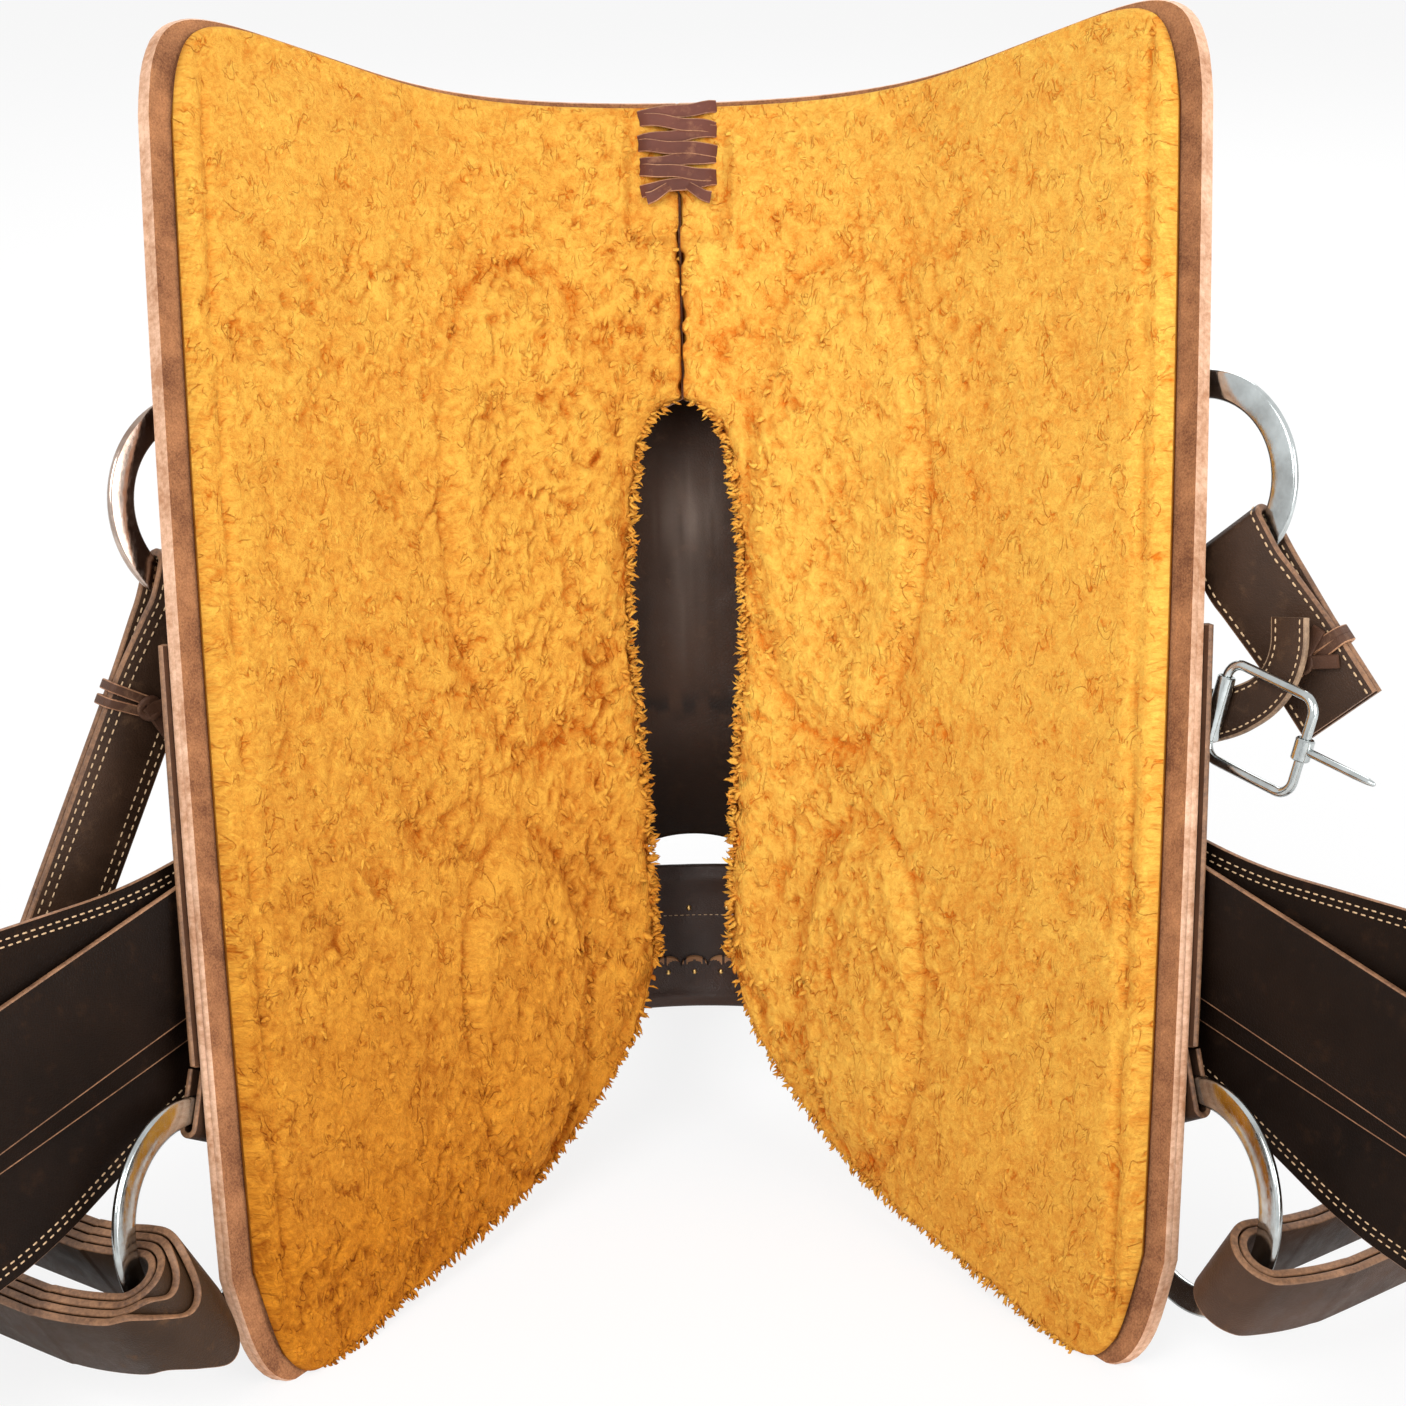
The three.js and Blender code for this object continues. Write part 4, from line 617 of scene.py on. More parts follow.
def fine_sheet(front, back, step):
    """A closed sheet whose front grid is fine and whose back grid has only few of its rows and columns."""
    rows, columns = front.shape[:2]
    index = np.arange(rows * columns).reshape(rows, columns)
    coarse = index[::step, ::step]
    number = np.arange(coarse.size).reshape(coarse.shape) + rows * columns
    points = np.concatenate([front.reshape(-1, 3), back[::step, ::step].reshape(-1, 3)])
    cell = np.stack([index[:-1, :-1], index[:-1, 1:], index[1:, 1:], index[1:, :-1]], -1).reshape(-1, 4)
    rear = np.stack([number[:-1, :-1], number[1:, :-1], number[1:, 1:], number[:-1, 1:]], -1).reshape(-1, 4)
    fine_loop = np.concatenate([index[0, :-1], index[:-1, -1], index[-1, :0:-1], index[:0:-1, 0]])
    loop = np.concatenate([number[0, :-1], number[:-1, -1], number[-1, :0:-1], number[:0:-1, 0]])
    pairs = np.stack([fine_loop, np.roll(fine_loop, -1)], -1)
    owner = np.repeat(np.arange(len(loop)), step)
    later = np.tile(np.arange(step) >= step // 2, len(loop))
    owner = np.where(later, (owner + 1) % len(loop), owner)
    fans = np.stack([loop[owner], pairs[:, 1], pairs[:, 0]], -1)
    middle = fine_loop[np.arange(len(loop)) * step + step // 2]
    joins = np.stack([loop, np.roll(loop, -1), middle], -1)
    return points, [np.concatenate([cell, rear]), np.concatenate([fans, joins])]


def ring_quads(index, loop=False):
    """The quads between rings of point numbers; in a loop the last ring joins the first."""
    onward = np.roll(index, -1, axis=0) if loop else index[1:]
    index = index[:len(onward)]
    return np.stack([index, np.roll(index, -1, 1), np.roll(onward, -1, 1), onward], -1).reshape(-1, 4)


def fans(index, hubs):
    """The triangles that close the first and the last ring about two hub points."""
    first, last = index[0], index[-1]
    return np.concatenate([np.stack([np.full(len(first), hubs[0]), np.roll(first, -1), first], -1),
                           np.stack([np.full(len(last), hubs[1]), last, np.roll(last, -1)], -1)])


def for_each(faces, count, size):
    """One body's faces, once for each of so many copies of its points."""
    return (np.arange(count)[:, None, None] * size + faces).reshape(-1, faces.shape[1])


def whole_turn(count):
    """So many even angles of one whole turn."""
    return np.arange(count) * 2 * math.pi / count


LOCK_STOPS = np.array([0, 0.22, 0.52, 0.8, 1.0])[:, None]
LOCK_GIRTHS = np.array([0, 0.85, 1.0, 0.62, 0])[:, None]
LOCK_POINTS = 17


def locks(side, arc, f, lift, heading, length, radius, arch, curl):
    """Wool locks: each is a tapered five-sided tuft that arches out of the pile along its heading and curls
    sideways. Gives points, their share of the way along the lock, and faces."""
    arc, f, lift, heading, length, radius, arch, curl = (
        values[:, None, None] for values in (arc, f, lift, heading, length, radius, arch, curl))
    turn = whole_turn(5)
    ahead = length * LOCK_STOPS
    beside = curl * length * np.sin(LOCK_STOPS * 2.6) + radius * LOCK_GIRTHS * np.cos(turn)
    thick = radius * LOCK_GIRTHS * np.sin(turn) * 0.8
    c, s = np.cos(heading), np.sin(heading)
    points = on_back(side * np.maximum(arc + ahead * c - beside * s, 0.5), f + ahead * s + beside * c,
                     lift - arch * np.sin(LOCK_STOPS * 2.9) - thick)
    points = points.reshape(-1, 25, 3)[:, np.r_[0, 5:21]]
    index = np.arange(1, LOCK_POINTS - 1).reshape(3, 5)
    faces = [ring_quads(index), fans(index, (0, LOCK_POINTS - 1))]
    return (points.reshape(-1, 3), np.tile(np.repeat(LOCK_STOPS, [1, 5, 5, 5, 1]), len(points)),
            [for_each(kind, len(points), LOCK_POINTS) for kind in faces])


TUFT_PITCH, TUFT_STRAY = 8.0, 4.3
OPEN_TUFTS, FRONT_TUFTS = 200, 190
for name, side in SIDES:
    column, row = np.meshgrid(even(200), even(420))
    arc, f = skirt_place(column, row, RIM_INSET, EDGE_INSET)
    inside, outside = arc - opening_half(f), SKIRT_DROP - RIM_INSET - arc
    lift, depth = wool_surface(side, arc, f, inside, outside, np.minimum(f - f[:1], f[-1:] - f))
    ragged = (lumps(arc, f, 7.0, 41 + side) - 0.5) * 6 * np.exp(-inside / 6)
    front = on_back(side * np.maximum(arc + ragged, 0.4), f, lift)
    points, faces = fine_sheet(front, on_back(side * arc, f, -WOOL_GAP), 10)
    behind = np.zeros(len(points) - depth.size)
    fibre_uv = np.stack([np.append(side * arc, behind), np.append(f, behind)], -1) * 0.001
    # Its depth field is painted shade for the wool's colour, and its tone field is partly dye and partly
    # painted light and shade.
    fleece = make_piece(f"fleece_{name}_wool", points, faces, [golden_wool], "saddle", None, 180.0,
                        [f"fleece_{name}"], fibre_uv,
                        {"depth": np.append(depth, behind), "tone": np.append(wool_tone(side, f), behind)})
    rng = np.random.default_rng(60 + side)
    arc, f = ((grid + rng.uniform(-TUFT_STRAY, TUFT_STRAY, grid.shape)).ravel() for grid in
              np.meshgrid(np.arange(2, 335, TUFT_PITCH), np.arange(-372, 350, TUFT_PITCH)))
    inside, outside = arc - opening_half(f), SKIRT_DROP - RIM_INSET - arc
    rear, front = skirt_ends(np.clip(inside / (inside + outside), 0, 1), EDGE_INSET)
    ends = np.minimum(f - rear, front - f)
    laced = (arc < 34) & (f < -LACING_FRONT + 20)
    grown = (inside > 2) & (outside > 5) & (ends > 5) & ~laced
    arc, f, inside, outside, ends = (values[grown] for values in (arc, f, inside, outside, ends))
    lift, height = wool_surface(side, arc, f, inside, outside, ends)
    heading = math.pi * (0.1 + 1.3 * lumps(side * arc, f, 55.0, 47)) + rng.uniform(-0.9, 0.9, len(arc))
    length = np.minimum(rng.uniform(5.0, 9.0, len(arc)), np.minimum(outside, ends) * 0.9)
    girth = rng.uniform(1.2, 2.0, len(arc))
    tufts = [arc, f, heading, length, girth, lift + girth * 0.75, rng.uniform(0.1, 0.6, len(arc)), height]
    # Thin tufts that stick out over the opening and over the front edge, in three tiers
    open_f = np.tile(np.linspace(-178.0, 150.0, OPEN_TUFTS), 3) + rng.uniform(-1.5, 1.5, 3 * OPEN_TUFTS)
    open_arc = opening_half(open_f) + rng.uniform(1.0, 4.5, 3 * OPEN_TUFTS)
    share = np.tile(np.linspace(0.02, 0.86, FRONT_TUFTS), 3) + rng.uniform(-0.003, 0.003, 3 * FRONT_TUFTS)
    front_f = skirt_ends(share, EDGE_INSET)[1]
    front_arc = opening_half(front_f) + (SKIRT_DROP - RIM_INSET - opening_half(front_f)) * share
    tier = np.append(np.repeat([-3.5, -7.5, -11.5], OPEN_TUFTS), np.repeat([-2.5, -5.0, -7.5], FRONT_TUFTS))
    heading = np.append(rng.uniform(-0.9, 0.9, 3 * OPEN_TUFTS) + math.pi,
                        rng.uniform(-0.8, 0.8, 3 * FRONT_TUFTS) + math.pi * 0.72)
    edge_tufts = [np.append(open_arc, front_arc + 2.0), np.append(open_f, front_f - 3.0), heading,
                  rng.uniform(4.5, 9.0, len(tier)), rng.uniform(0.6, 1.35, len(tier)),
                  tier + rng.uniform(-1.2, 1.2, len(tier)), rng.uniform(-0.6, 0.9, len(tier)),
                  rng.uniform(0.45, 0.75, len(tier))]
    arc, f, heading, length, girth, sunk, rise, height = (np.append(*both) for both in zip(tufts, edge_tufts))
    points, share, faces = locks(side, arc, f, sunk, heading, length, girth, rise,
                                 rng.uniform(-0.3, 0.3, len(arc)))
    tone = np.repeat(wool_tone(side, f) + rng.uniform(-0.12, 0.12, len(arc)), LOCK_POINTS)
    # Each lock takes the painted-shade value of the pile where it grows, a little lighter towards its tip.
    deep = np.repeat(height + rng.uniform(-0.04, 0.12, len(arc)), LOCK_POINTS) * (0.9 + 0.12 * share)
    where = np.repeat(np.stack([side * arc, f], -1), LOCK_POINTS, axis=0)
    tuft_uv = (where + np.stack([share * 6, np.tile(np.arange(LOCK_POINTS) % 5, len(arc))], -1)) * 0.001
    make_piece(f"fleece_{name}_locks", points, faces, [golden_wool], "saddle", None, 180.0, uv=tuft_uv,
               fields={"depth": deep, "tone": tone})

# Rear lacing. One flat waxed lace, wound seven times across the seam behind the seat, with two short tails.
def rounded_section(width, thickness, corner=0.3):
    """A flat band's section as 12 points round it, with its corners rounded by a share of the thickness.
    Points 5 to 6 span its outer wide face and 11 to 0 its inner one."""
    radius = thickness * corner
    turn = np.radians(np.concatenate([np.linspace(a, a + 90, 3) for a in (-90, 0, 90, 180)]))
    centre_w = np.repeat([1, 1, -1, -1], 3) * (width / 2 - radius)
    centre_t = np.repeat([-1, 1, 1, -1], 3) * (thickness / 2 - radius)
    return np.stack([centre_w + radius * np.cos(turn), centre_t + radius * np.sin(turn)], -1)


def tube_body(rings, loop=False, tips=None):
    """A closed body through rings of points: joined up as a loop, or with each end closed about a tip, which
    is the end ring's middle unless it is given."""
    points = rings.reshape(-1, 3)
    index = np.arange(len(points)).reshape(rings.shape[:2])
    if loop:
        return points, [ring_quads(index, True)]
    tips = [rings[0].mean(0), rings[-1].mean(0)] if tips is None else tips
    return np.concatenate([points, tips]), [ring_quads(index), fans(index, (len(points), len(points) + 1))]


def swept(path, wide_axes, face_axes, section, loop=False):
    """A closed band through a row of frames: a section per frame, spanned by its width and face axes."""
    across, over = section[..., :1] * wide_axes[:, None], section[..., 1:] * face_axes[:, None]
    return tube_body(path[:, None] + across + over, loop)


def axes_along(path, wide_axis=None, face_axis=None, loop=False):
    """The width and face axes at every point of a path, from the one that is known."""
    heading = np.roll(path, -1, axis=0) - np.roll(path, 1, axis=0) if loop else np.gradient(path, axis=0)
    heading = unit(heading)
    if wide_axis is not None:
        wide = np.broadcast_to(np.asarray(wide_axis, float), path.shape)
        return wide, unit(np.cross(wide, heading))
    wide = unit(np.cross(heading, np.broadcast_to(np.asarray(face_axis, float), path.shape)))
    return wide, np.cross(wide, heading)


def band(path, section, wide_axis=None, face_axis=None, loop=False):
    """A band along a path, from the one of its axes that is known."""
    return swept(path, *axes_along(path, wide_axis, face_axis, loop), section, loop)


def curve_through(knots, count):
    """A smooth curve through knots, by cubics between them, at even steps of its length."""
    knots = np.asarray(knots, float)
    padded = np.concatenate([[2 * knots[0] - knots[1]], knots, [2 * knots[-1] - knots[-2]]])
    share = np.linspace(0, len(knots) - 1, 40 * len(knots))
    i = np.minimum(share.astype(int), len(knots) - 2)
    t = (share - i)[:, None]
    a, b, c, d = (padded[i + k] for k in range(4))
    bend, twist = 2 * a - 5 * b + 4 * c - d, 3 * b - a - 3 * c + d
    dense = 0.5 * (2 * b + (c - a) * t + bend * t ** 2 + twist * t ** 3)
    travelled = np.concatenate([[0], np.cumsum(np.linalg.norm(np.diff(dense, axis=0), axis=1))])
    even_steps = np.linspace(0, travelled[-1], count)
    return np.stack([np.interp(even_steps, travelled, dense[:, k]) for k in range(dense.shape[1])], -1)


lace_leather = grain_leather("waxed_lace", (0.15, 0.05, 0.034), (0.5, 0.25, 0.13), 1100.0, 0.45, 0.2, 0.00025)
lace_edge = raw_leather("lace_edge", (0.55, 0.28, 0.14), (0.18, 0.07, 0.035), 900.0, 1.0, 0.0002, 0.6)
BAND_FACES = np.array([2, 2, 2, 2, 2, 0, 2, 2, 2, 2, 2, 1])


def band_finishes(faces):
    """Material numbers for swept bands: 0 and 1 for their wide faces, 2 for their edges and cut ends."""
    sides = np.tile(BAND_FACES, len(faces[0]) // len(BAND_FACES))
    return np.concatenate([sides] + [np.full(len(ends), 2) for ends in faces[1:]])


def joined(bodies):
    """Joins bodies into one: their points in a row, and each kind of their faces in a row."""
    starts = np.cumsum([0] + [len(points) for points, _ in bodies])
    kinds = zip(*[[group + start for group in faces] for (_, faces), start in zip(bodies, starts)])
    return np.concatenate([points for points, _ in bodies]), [np.concatenate(kind) for kind in kinds]


DOWN = (0, -1, 0)
LACE_TURNS, LACE_SLOPE = 7, 2.6
LACE_LIFT, LACE_DIP, LACE_RISE = -RIM_PILE - 3.1, 4.4, 1.4
LACE_PITCH = (LACING_REAR - LACING_FRONT) / LACE_TURNS
rng = np.random.default_rng(7)
bands = []
for turn in range(LACE_TURNS):
    across = np.linspace(-1, 1, 15)
    slope = rng.uniform(-0.8, 0.8) + (LACE_SLOPE if turn % 2 else -LACE_SLOPE)
    half = LACING_HALF + rng.uniform(-0.6, 0.9)
    rise = LACE_RISE if turn % 2 else 0.0
    lift = LACE_LIFT + LACE_DIP * np.abs(across) ** 9 - rise * np.cos(across * 1.2)
    f = -LACING_REAR + (turn + 0.5) * LACE_PITCH + slope * across + 0.5 * np.sin(across * 5 + turn)
    path = on_back(across * half, f, lift)
    bands.append(band(path, rounded_section(7.8, 1.9), face_axis=DOWN))
for side in (-1, 1):
    knots = on_back(np.array([6, 11, 16, 20]) * side, -LACING_FRONT + np.array([-3.0, 0.5, 3.5, 4.5]),
                    np.array([-RIM_PILE - 3.0, -RIM_PILE - 5.2, -RIM_PILE - 5.0, -RIM_PILE - 4.0]))
    path = curve_through(knots, 12)
    growth = np.linspace(0.75, 1.15, 12)[:, None, None]
    section = rounded_section(6.6, 2.0) * np.concatenate([growth, np.ones_like(growth)], -1)
    bands.append(band(path, section, face_axis=DOWN))
points, faces = joined(bands)
make_piece("rear_lace", points, faces, [lace_leather, lace_leather, lace_edge], "saddle",
           band_finishes(faces), 40.0, ["rear_lacing"])

# Tree bars and ground seat. The bars are carved wood; the ground seat is a smooth leather-covered plate
# that shows through the opening, dark and streaked, with its front edge cut in an arc. Its colour has a
# painted grey highlight near the rear of the opening and painted shade towards both ends, most at the front.
BAR_EDGE, BAR_CROWN, BAR_SPREAD = 5.0, 17.0, 12.0
BAR_BASE = SKIRT_TOP + WOOL_GAP
BAR_TOP = BAR_BASE + BAR_EDGE + BAR_CROWN
LAYER_GAP = 0.9
GROUND_BASE = BAR_TOP + 2 * TOUCH
CANTLE_REAR, CANTLE_HALF = -222.0, 172.0
SEAT_FRONT, SEAT_PLATE = 96.0, 5.0


def bar_outer(f):
    """How far round the back a bar's outer edge lies at a forward distance."""
    return lengthwise(172.0, 116.0, 196.0, f)


def bar_inner(f):
    """How far round the back a bar's inner edge lies: outside the skirts' front edges."""
    return np.maximum(48.0, front_edge_arc(f) + BAR_SPREAD)


def bar_middle(f):
    """How far round the back a bar's crown lies."""
    return (bar_inner(f) + bar_outer(f)) / 2


def bar_lift(arc, f):
    """The bar's rounded top, as high as a half wave across its width."""
    share = np.clip((np.abs(arc) - bar_inner(f)) / (bar_outer(f) - bar_inner(f)), 0, 1)
    return BAR_BASE + BAR_EDGE + BAR_CROWN * np.sin(math.pi * share)


def over_bars(arc, f):
    """The height of anything laid over the bars: level to the crown, then down the bar's outside."""
    beyond = np.abs(arc) - bar_outer(f) - LAYER_GAP
    outside = np.where(beyond < 0, bar_lift(arc, f) + LAYER_GAP,
                       BAR_BASE + (BAR_EDGE + LAYER_GAP) * (1 - smooth(beyond / (3 * BAR_EDGE))))
    return np.where(np.abs(arc) <= bar_middle(f), BAR_TOP, outside)


def cantle_line(arc):
    """How far forward the cantle's rear face lies, which curves forward at its ends."""
    return CANTLE_REAR + 72.0 * np.minimum(np.abs(arc) / CANTLE_HALF, 1) ** 2


def front_lift(arc, f):
    """How much the seat rises towards the fork, most in the middle."""
    across = np.maximum(1 - (arc / bar_middle(f)) ** 2, 0)
    return 26.0 * smooth((f - SEAT_FRONT + 80.0) / 80.0) * across


pale_wood = raw_leather("pale_wood", (0.5, 0.32, 0.17), (0.3, 0.17, 0.08), 90.0, 6.0, 0.0003, 0.6)
seat_leather = grain_leather("ground_seat_leather", (0.044, 0.019, 0.009), (0.12, 0.065, 0.038), 480.0, 0.55,
                             0.14)
# The ground seat's colour is first mixed towards grey by a painted highlight, strongest near the rear of the
# opening and streaked along its length.
tree = seat_leather.node_tree
shader = next(node for node in tree.nodes if node.type == "BSDF_PRINCIPLED")
plain = shader.inputs["Base Color"].links[0].from_socket
highlighted = mixed(tree, field(tree, "painted_highlight"), plain, (0.17, 0.125, 0.1, 1))
# Then it is darkened towards near black by painted shade towards both ends of the seat, most at its front,
# and by dark smudges.
fill_in(tree, shader, {"Base Color": mixed(tree, field(tree, "painted_shade_and_smudges"), (0.009, 0.004, 0.002, 1), highlighted)})

BAR_REAR, BAR_LENGTH = -292.0, 554.0
SEAT_MARGIN = 8.0
column, row = np.meshgrid(even(24), dense_ends(70))
f = BAR_REAR + BAR_LENGTH * row
taper = np.sqrt(1 - np.abs(2 * row - 1) ** 8 * 0.75)
arc = bar_middle(f) + (column - 0.5) * taper * (bar_outer(f) - bar_inner(f))
for name, side in SIDES:
    laid_sheet(f"bar_wood_{name}", f"tree_bar_{name}", side * arc, f, BAR_BASE, bar_lift(arc, f), [pale_wood],
               swell=0.25, crease=40.0)

column, row = np.meshgrid(even(80), dense_ends(90))
across = 2 * column - 1
front = 78.0 + 12.0 * np.minimum((across * 3) ** 2, 1)
rear = cantle_line(across * (bar_middle(np.full_like(row, CANTLE_REAR)) + SEAT_MARGIN)) + 4.0
f = rear + (front - rear) * row
arc = across * (bar_middle(f) + SEAT_MARGIN)
base = GROUND_BASE + front_lift(arc, f)
ripple = 0.5 * (lumps(arc, f, 26.0, 71) - 0.5) + 0.35 * (lumps(arc, f * 0.2, 7.0, 72) - 0.5)
points, quads, which = sheet_body(on_back(arc, f, base + ripple), on_back(arc, f, base + SEAT_PLATE), 5, 0.4)
u, f = points[:, 0], -points[:, 2]
streaks = lumps(u, f * 0.12, 3.2, 73)
# A painted grey highlight: brightest near the rear of the opening, with a fainter tail further forward,
# streaked lengthwise.
painted_highlight = np.exp(-((f + 118) / 24) ** 2 - ((u - 3) / 17) ** 2)
painted_highlight = painted_highlight + 0.45 * np.exp(-((f + 62) / 42) ** 2 - (u / 15) ** 2)
smudge = np.exp(-((f - 2) / 8) ** 2) * smooth(lumps(u, f, 8.0, 74) * 3 - 1.0)
# Painted shade: darker towards the rear end and much darker towards the front. It is multiplied by the dark
# smudges, which are marks on the leather.
painted_shade_and_smudges = np.interp(f, [-200, -160, -90, 0, 40, 90], [0.35, 0.85, 1.0, 0.75, 0.3, 0.05]) * (1 - 0.8 * smudge)
make_piece("ground_seat_plate", points, quads, [seat_leather], "saddle", None, 60.0, ["ground_seat"],
           fields={"painted_highlight": np.clip(painted_highlight * (0.35 + 0.75 * streaks), 0, 1), "painted_shade_and_smudges": np.clip(painted_shade_and_smudges, 0, 1)})

# Gullet. A leather lining glued under the fork, and over it a trim with a rolled front edge, a row of tan
# scallops each held by a brass nail, a stitch line, and two more nails.
ARCH_TOP, ARCH_HALF = 60.0, 60.0


def fork_under(arc, f):
    """The height of the fork's underside: over the bars, and arched between them."""
    rise = ARCH_TOP - GROUND_BASE
    return over_bars(arc, f) + 2 * LAYER_GAP + rise * smooth(1 - np.abs(arc) / ARCH_HALF)


def row_of_stitches(line, normals, pitch, length, girth, sunk=0.1):
    """Thread stitches at a pitch along a polyline that has one normal, or one at each of its points. Each is
    a tapered five-sided rod laid on the surface, with its ends sunk in."""
    travelled = np.concatenate([[0], np.cumsum(np.linalg.norm(np.diff(line, axis=0), axis=1))])
    places = np.arange(pitch / 2, travelled[-1] - pitch / 3, pitch)

    def at(values, spots):
        """Values along the line, read at some distances."""
        return xyz(*(np.interp(spots, travelled, one) for one in values.T))

    heading = unit(at(line, places + 1) - at(line, places - 1))
    normal = at(np.broadcast_to(normals, line.shape), places)
    normal = unit(normal - heading * np.einsum("ij,ij->i", normal, heading)[:, None])
    stops = np.array([[-1.0], [-0.55], [0.55], [1.0]]) * length / 2
    size = np.array([[0.25], [1.0], [1.0], [0.25]]) * girth
    rise = np.array([[-0.9], [0.15], [0.15], [-0.9]]) * girth - sunk
    turn = whole_turn(5)
    centres, heading, aside, normal = (values[:, None, None] for values in
                                       (at(line, places), heading, np.cross(heading, normal), normal))
    points = (centres + heading * stops[..., None] + aside * (size * np.cos(turn))[..., None]
              + normal * (rise + size * np.sin(turn))[..., None])
    index = np.arange(20).reshape(4, 5)
    caps = np.stack([index[0, ::-1], index[-1]])
    return points.reshape(-1, 3), [for_each(one, len(places), 20) for one in (ring_quads(index), caps)]


thread, tree, shader = new_finish("waxed_thread", {"Base Color": (0.62, 0.42, 0.24, 1), "Roughness": 0.7})
twist = noise(tree, add_node(tree, "ShaderNodeTexCoord").outputs["Object"], 1500.0, 2.0)
bump = add_node(tree, "ShaderNodeBump", {"Height": twist, "Strength": 0.6, "Distance": 0.0002})
fill_in(tree, shader, {"Normal": bump.outputs[0]})


def placed(place, points):
    """Points moved by a 4 by 4 matrix."""
    return points @ place[:3, :3].T + place[:3, 3]


def add_stitches(name, rows, body, frame=np.eye(4)):
    """Joins rows of stitches, made in a frame of their own, into one piece."""
    points, faces = joined(rows)
    make_piece(name, placed(frame, points), faces, [thread], body, None, 80.0)


def revolved(profile, count, centre, axis, first):
    """A closed body turned from a profile of radius and height round an axis; radius 0 at both ends."""
    profile = np.asarray(profile, float)
    turn = whole_turn(count)[:, None]
    out = np.cos(turn) * first + np.sin(turn) * np.cross(axis, first)
    rings = centre + profile[1:-1, None, :1] * out + profile[1:-1, None, 1:] * axis
    return tube_body(rings, tips=[centre + profile[0, 1] * axis, centre + profile[-1, 1] * axis])


LINING_HALF = 46.2
FORK_REAR, FORK_FRONT = 100.0, 184.0
dark_leather = grain_leather("dark_leather", (0.03, 0.012, 0.006), (0.1, 0.05, 0.03), 650.0, 0.3, 0.45)
tan_scallop = grain_leather("tan_scallop", (0.36, 0.18, 0.085), (0.42, 0.24, 0.12), 800.0, 0.3, 0.2, 0.0002)
brass, tree, shader = new_finish("brass", {"Base Color": (0.72, 0.47, 0.17, 1), "Metallic": 1.0})
spots = noise(tree, add_node(tree, "ShaderNodeTexCoord").outputs["Object"], 900.0, 3.0)
fill_in(tree, shader, {"Roughness": ranged(tree, spots, 0.0, 1.0, 0.2, 0.42)})

LINING_THICK, TRIM_THICK = 3.0, 2.5
column, row = np.meshgrid(even(60), dense_ends(60))
arc, f = (2 * column - 1) * LINING_HALF, FORK_REAR + (FORK_FRONT - FORK_REAR) * row
top = fork_under(arc, f) - 2 * LAYER_GAP
roll = 2.6 * np.exp(-((f - FORK_REAR - 7.0) / 6.0) ** 2) - 0.25 * (lumps(arc, f * 0.3, 5.0, 81) - 0.5)
laid_sheet("gullet_lining_leather", "gullet_lining", arc, f, top - LINING_THICK - roll, top, [dark_leather],
           5, 0.5, 60.0)

SCALLOPS = 7
SCALLOP_FOOT, SCALLOP_RISE = FORK_FRONT - 23.0, 6.0
TRIM_HALF = LINING_HALF - BAR_EDGE


def scallop_crest(share):
    """The round top of each scallop, from 0 to 1, at a share of the way across the trim."""
    return np.sqrt(1 - (2 * (SCALLOPS * np.clip(share, 0, 0.9999) % 1) - 1) ** 2)


column, row = np.meshgrid(even(140), dense_ends(24))
rear = SCALLOP_FOOT - SCALLOP_RISE * scallop_crest(column)
f = rear + (FORK_FRONT - rear) * row
arc = (2 * column - 1) * TRIM_HALF
top = fork_under(arc, f) - 2 * LAYER_GAP - LINING_THICK - 2 * TOUCH
front_roll = 2.2 * np.exp(-((FORK_FRONT - f - 4.5) / 3.6) ** 2)
low = on_back(arc, f, top - TRIM_THICK - front_roll)
points, quads, which = sheet_body(low, on_back(arc, f, top), 4, 0.4)
middle = points[quads].mean(1)
crest = scallop_crest((middle[:, 0] / TRIM_HALF + 1) / 2)
tan_band = (-middle[:, 2] < SCALLOP_FOOT - SCALLOP_RISE * crest + 2.0) & (crest > 0.45)
make_piece("gullet_trim_leather", points, quads, [dark_leather, dark_leather, tan_scallop], "saddle",
           np.where(tan_band, 2, 0), 60.0, ["gullet_trim"])
NAIL_SUNK = 0.1
nails = [((2 * (nail + 0.5) / SCALLOPS - 1) * TRIM_HALF, FORK_FRONT - 20.0,
          -LINING_THICK - 2 * TOUCH - TRIM_THICK + 0.5 - NAIL_SUNK) for nail in range(SCALLOPS)]
nails += [(u, FORK_FRONT - 59.0, -LINING_THICK - NAIL_SUNK) for u in (-2.0, 15.0)]
NAIL = [[0, -0.3], [1.7, -0.3], [1.75, 0.1], [1.4, 0.75], [0.8, 1.1], [0, 1.2]]
heads = [revolved(NAIL, 14, on_back(u, f, fork_under(np.array(u), np.array(f)) - 2 * LAYER_GAP + under),
                  np.array([0.0, -1.0, 0.0]), np.array([1.0, 0.0, 0.0])) for u, f, under in nails]
make_piece("gullet_nails", *joined(heads), [brass], "saddle", None, 50.0)
line_arc, line_f = np.linspace(-TRIM_HALF, TRIM_HALF, 60), np.full(60, FORK_FRONT - 54.5)
line = on_back(line_arc, line_f, fork_under(line_arc, line_f) - 2 * LAYER_GAP - LINING_THICK)
add_stitches("gullet_stitching", [row_of_stitches(line, DOWN, 3.6, 3.0, 0.28)], "saddle")

# Rings. Four flat rings of polished steel, each in a folded leather hanger. The left rear ring has tarnished
# brown; all of them carry fine polishing scratches and dull spots.
def shift(x, y, z):
    """A shift as a 4 by 4 matrix."""
    made = np.eye(4)
    made[:3, 3] = x, y, z
    return made


def turn_about(axis, degrees):
    """A turn about one axis, 0 for x, 1 for y or 2 for z, as a 4 by 4 matrix."""
    made, c, s = np.eye(4), math.cos(math.radians(degrees)), math.sin(math.radians(degrees))
    first, second = ((1, 2), (2, 0), (0, 1))[axis]
    made[first, first] = made[second, second] = c
    made[first, second], made[second, first] = -s, s
    return made


def side_frame(side, arc, f, lift, tilt):
    """A frame on the saddle's side: x to the right along the slope, y squarely off it, z to the rear."""
    at = on_back(side * arc, f, lift)
    return shift(*at) @ turn_about(2, -side * (math.degrees(float(side_slope(f))) + tilt))


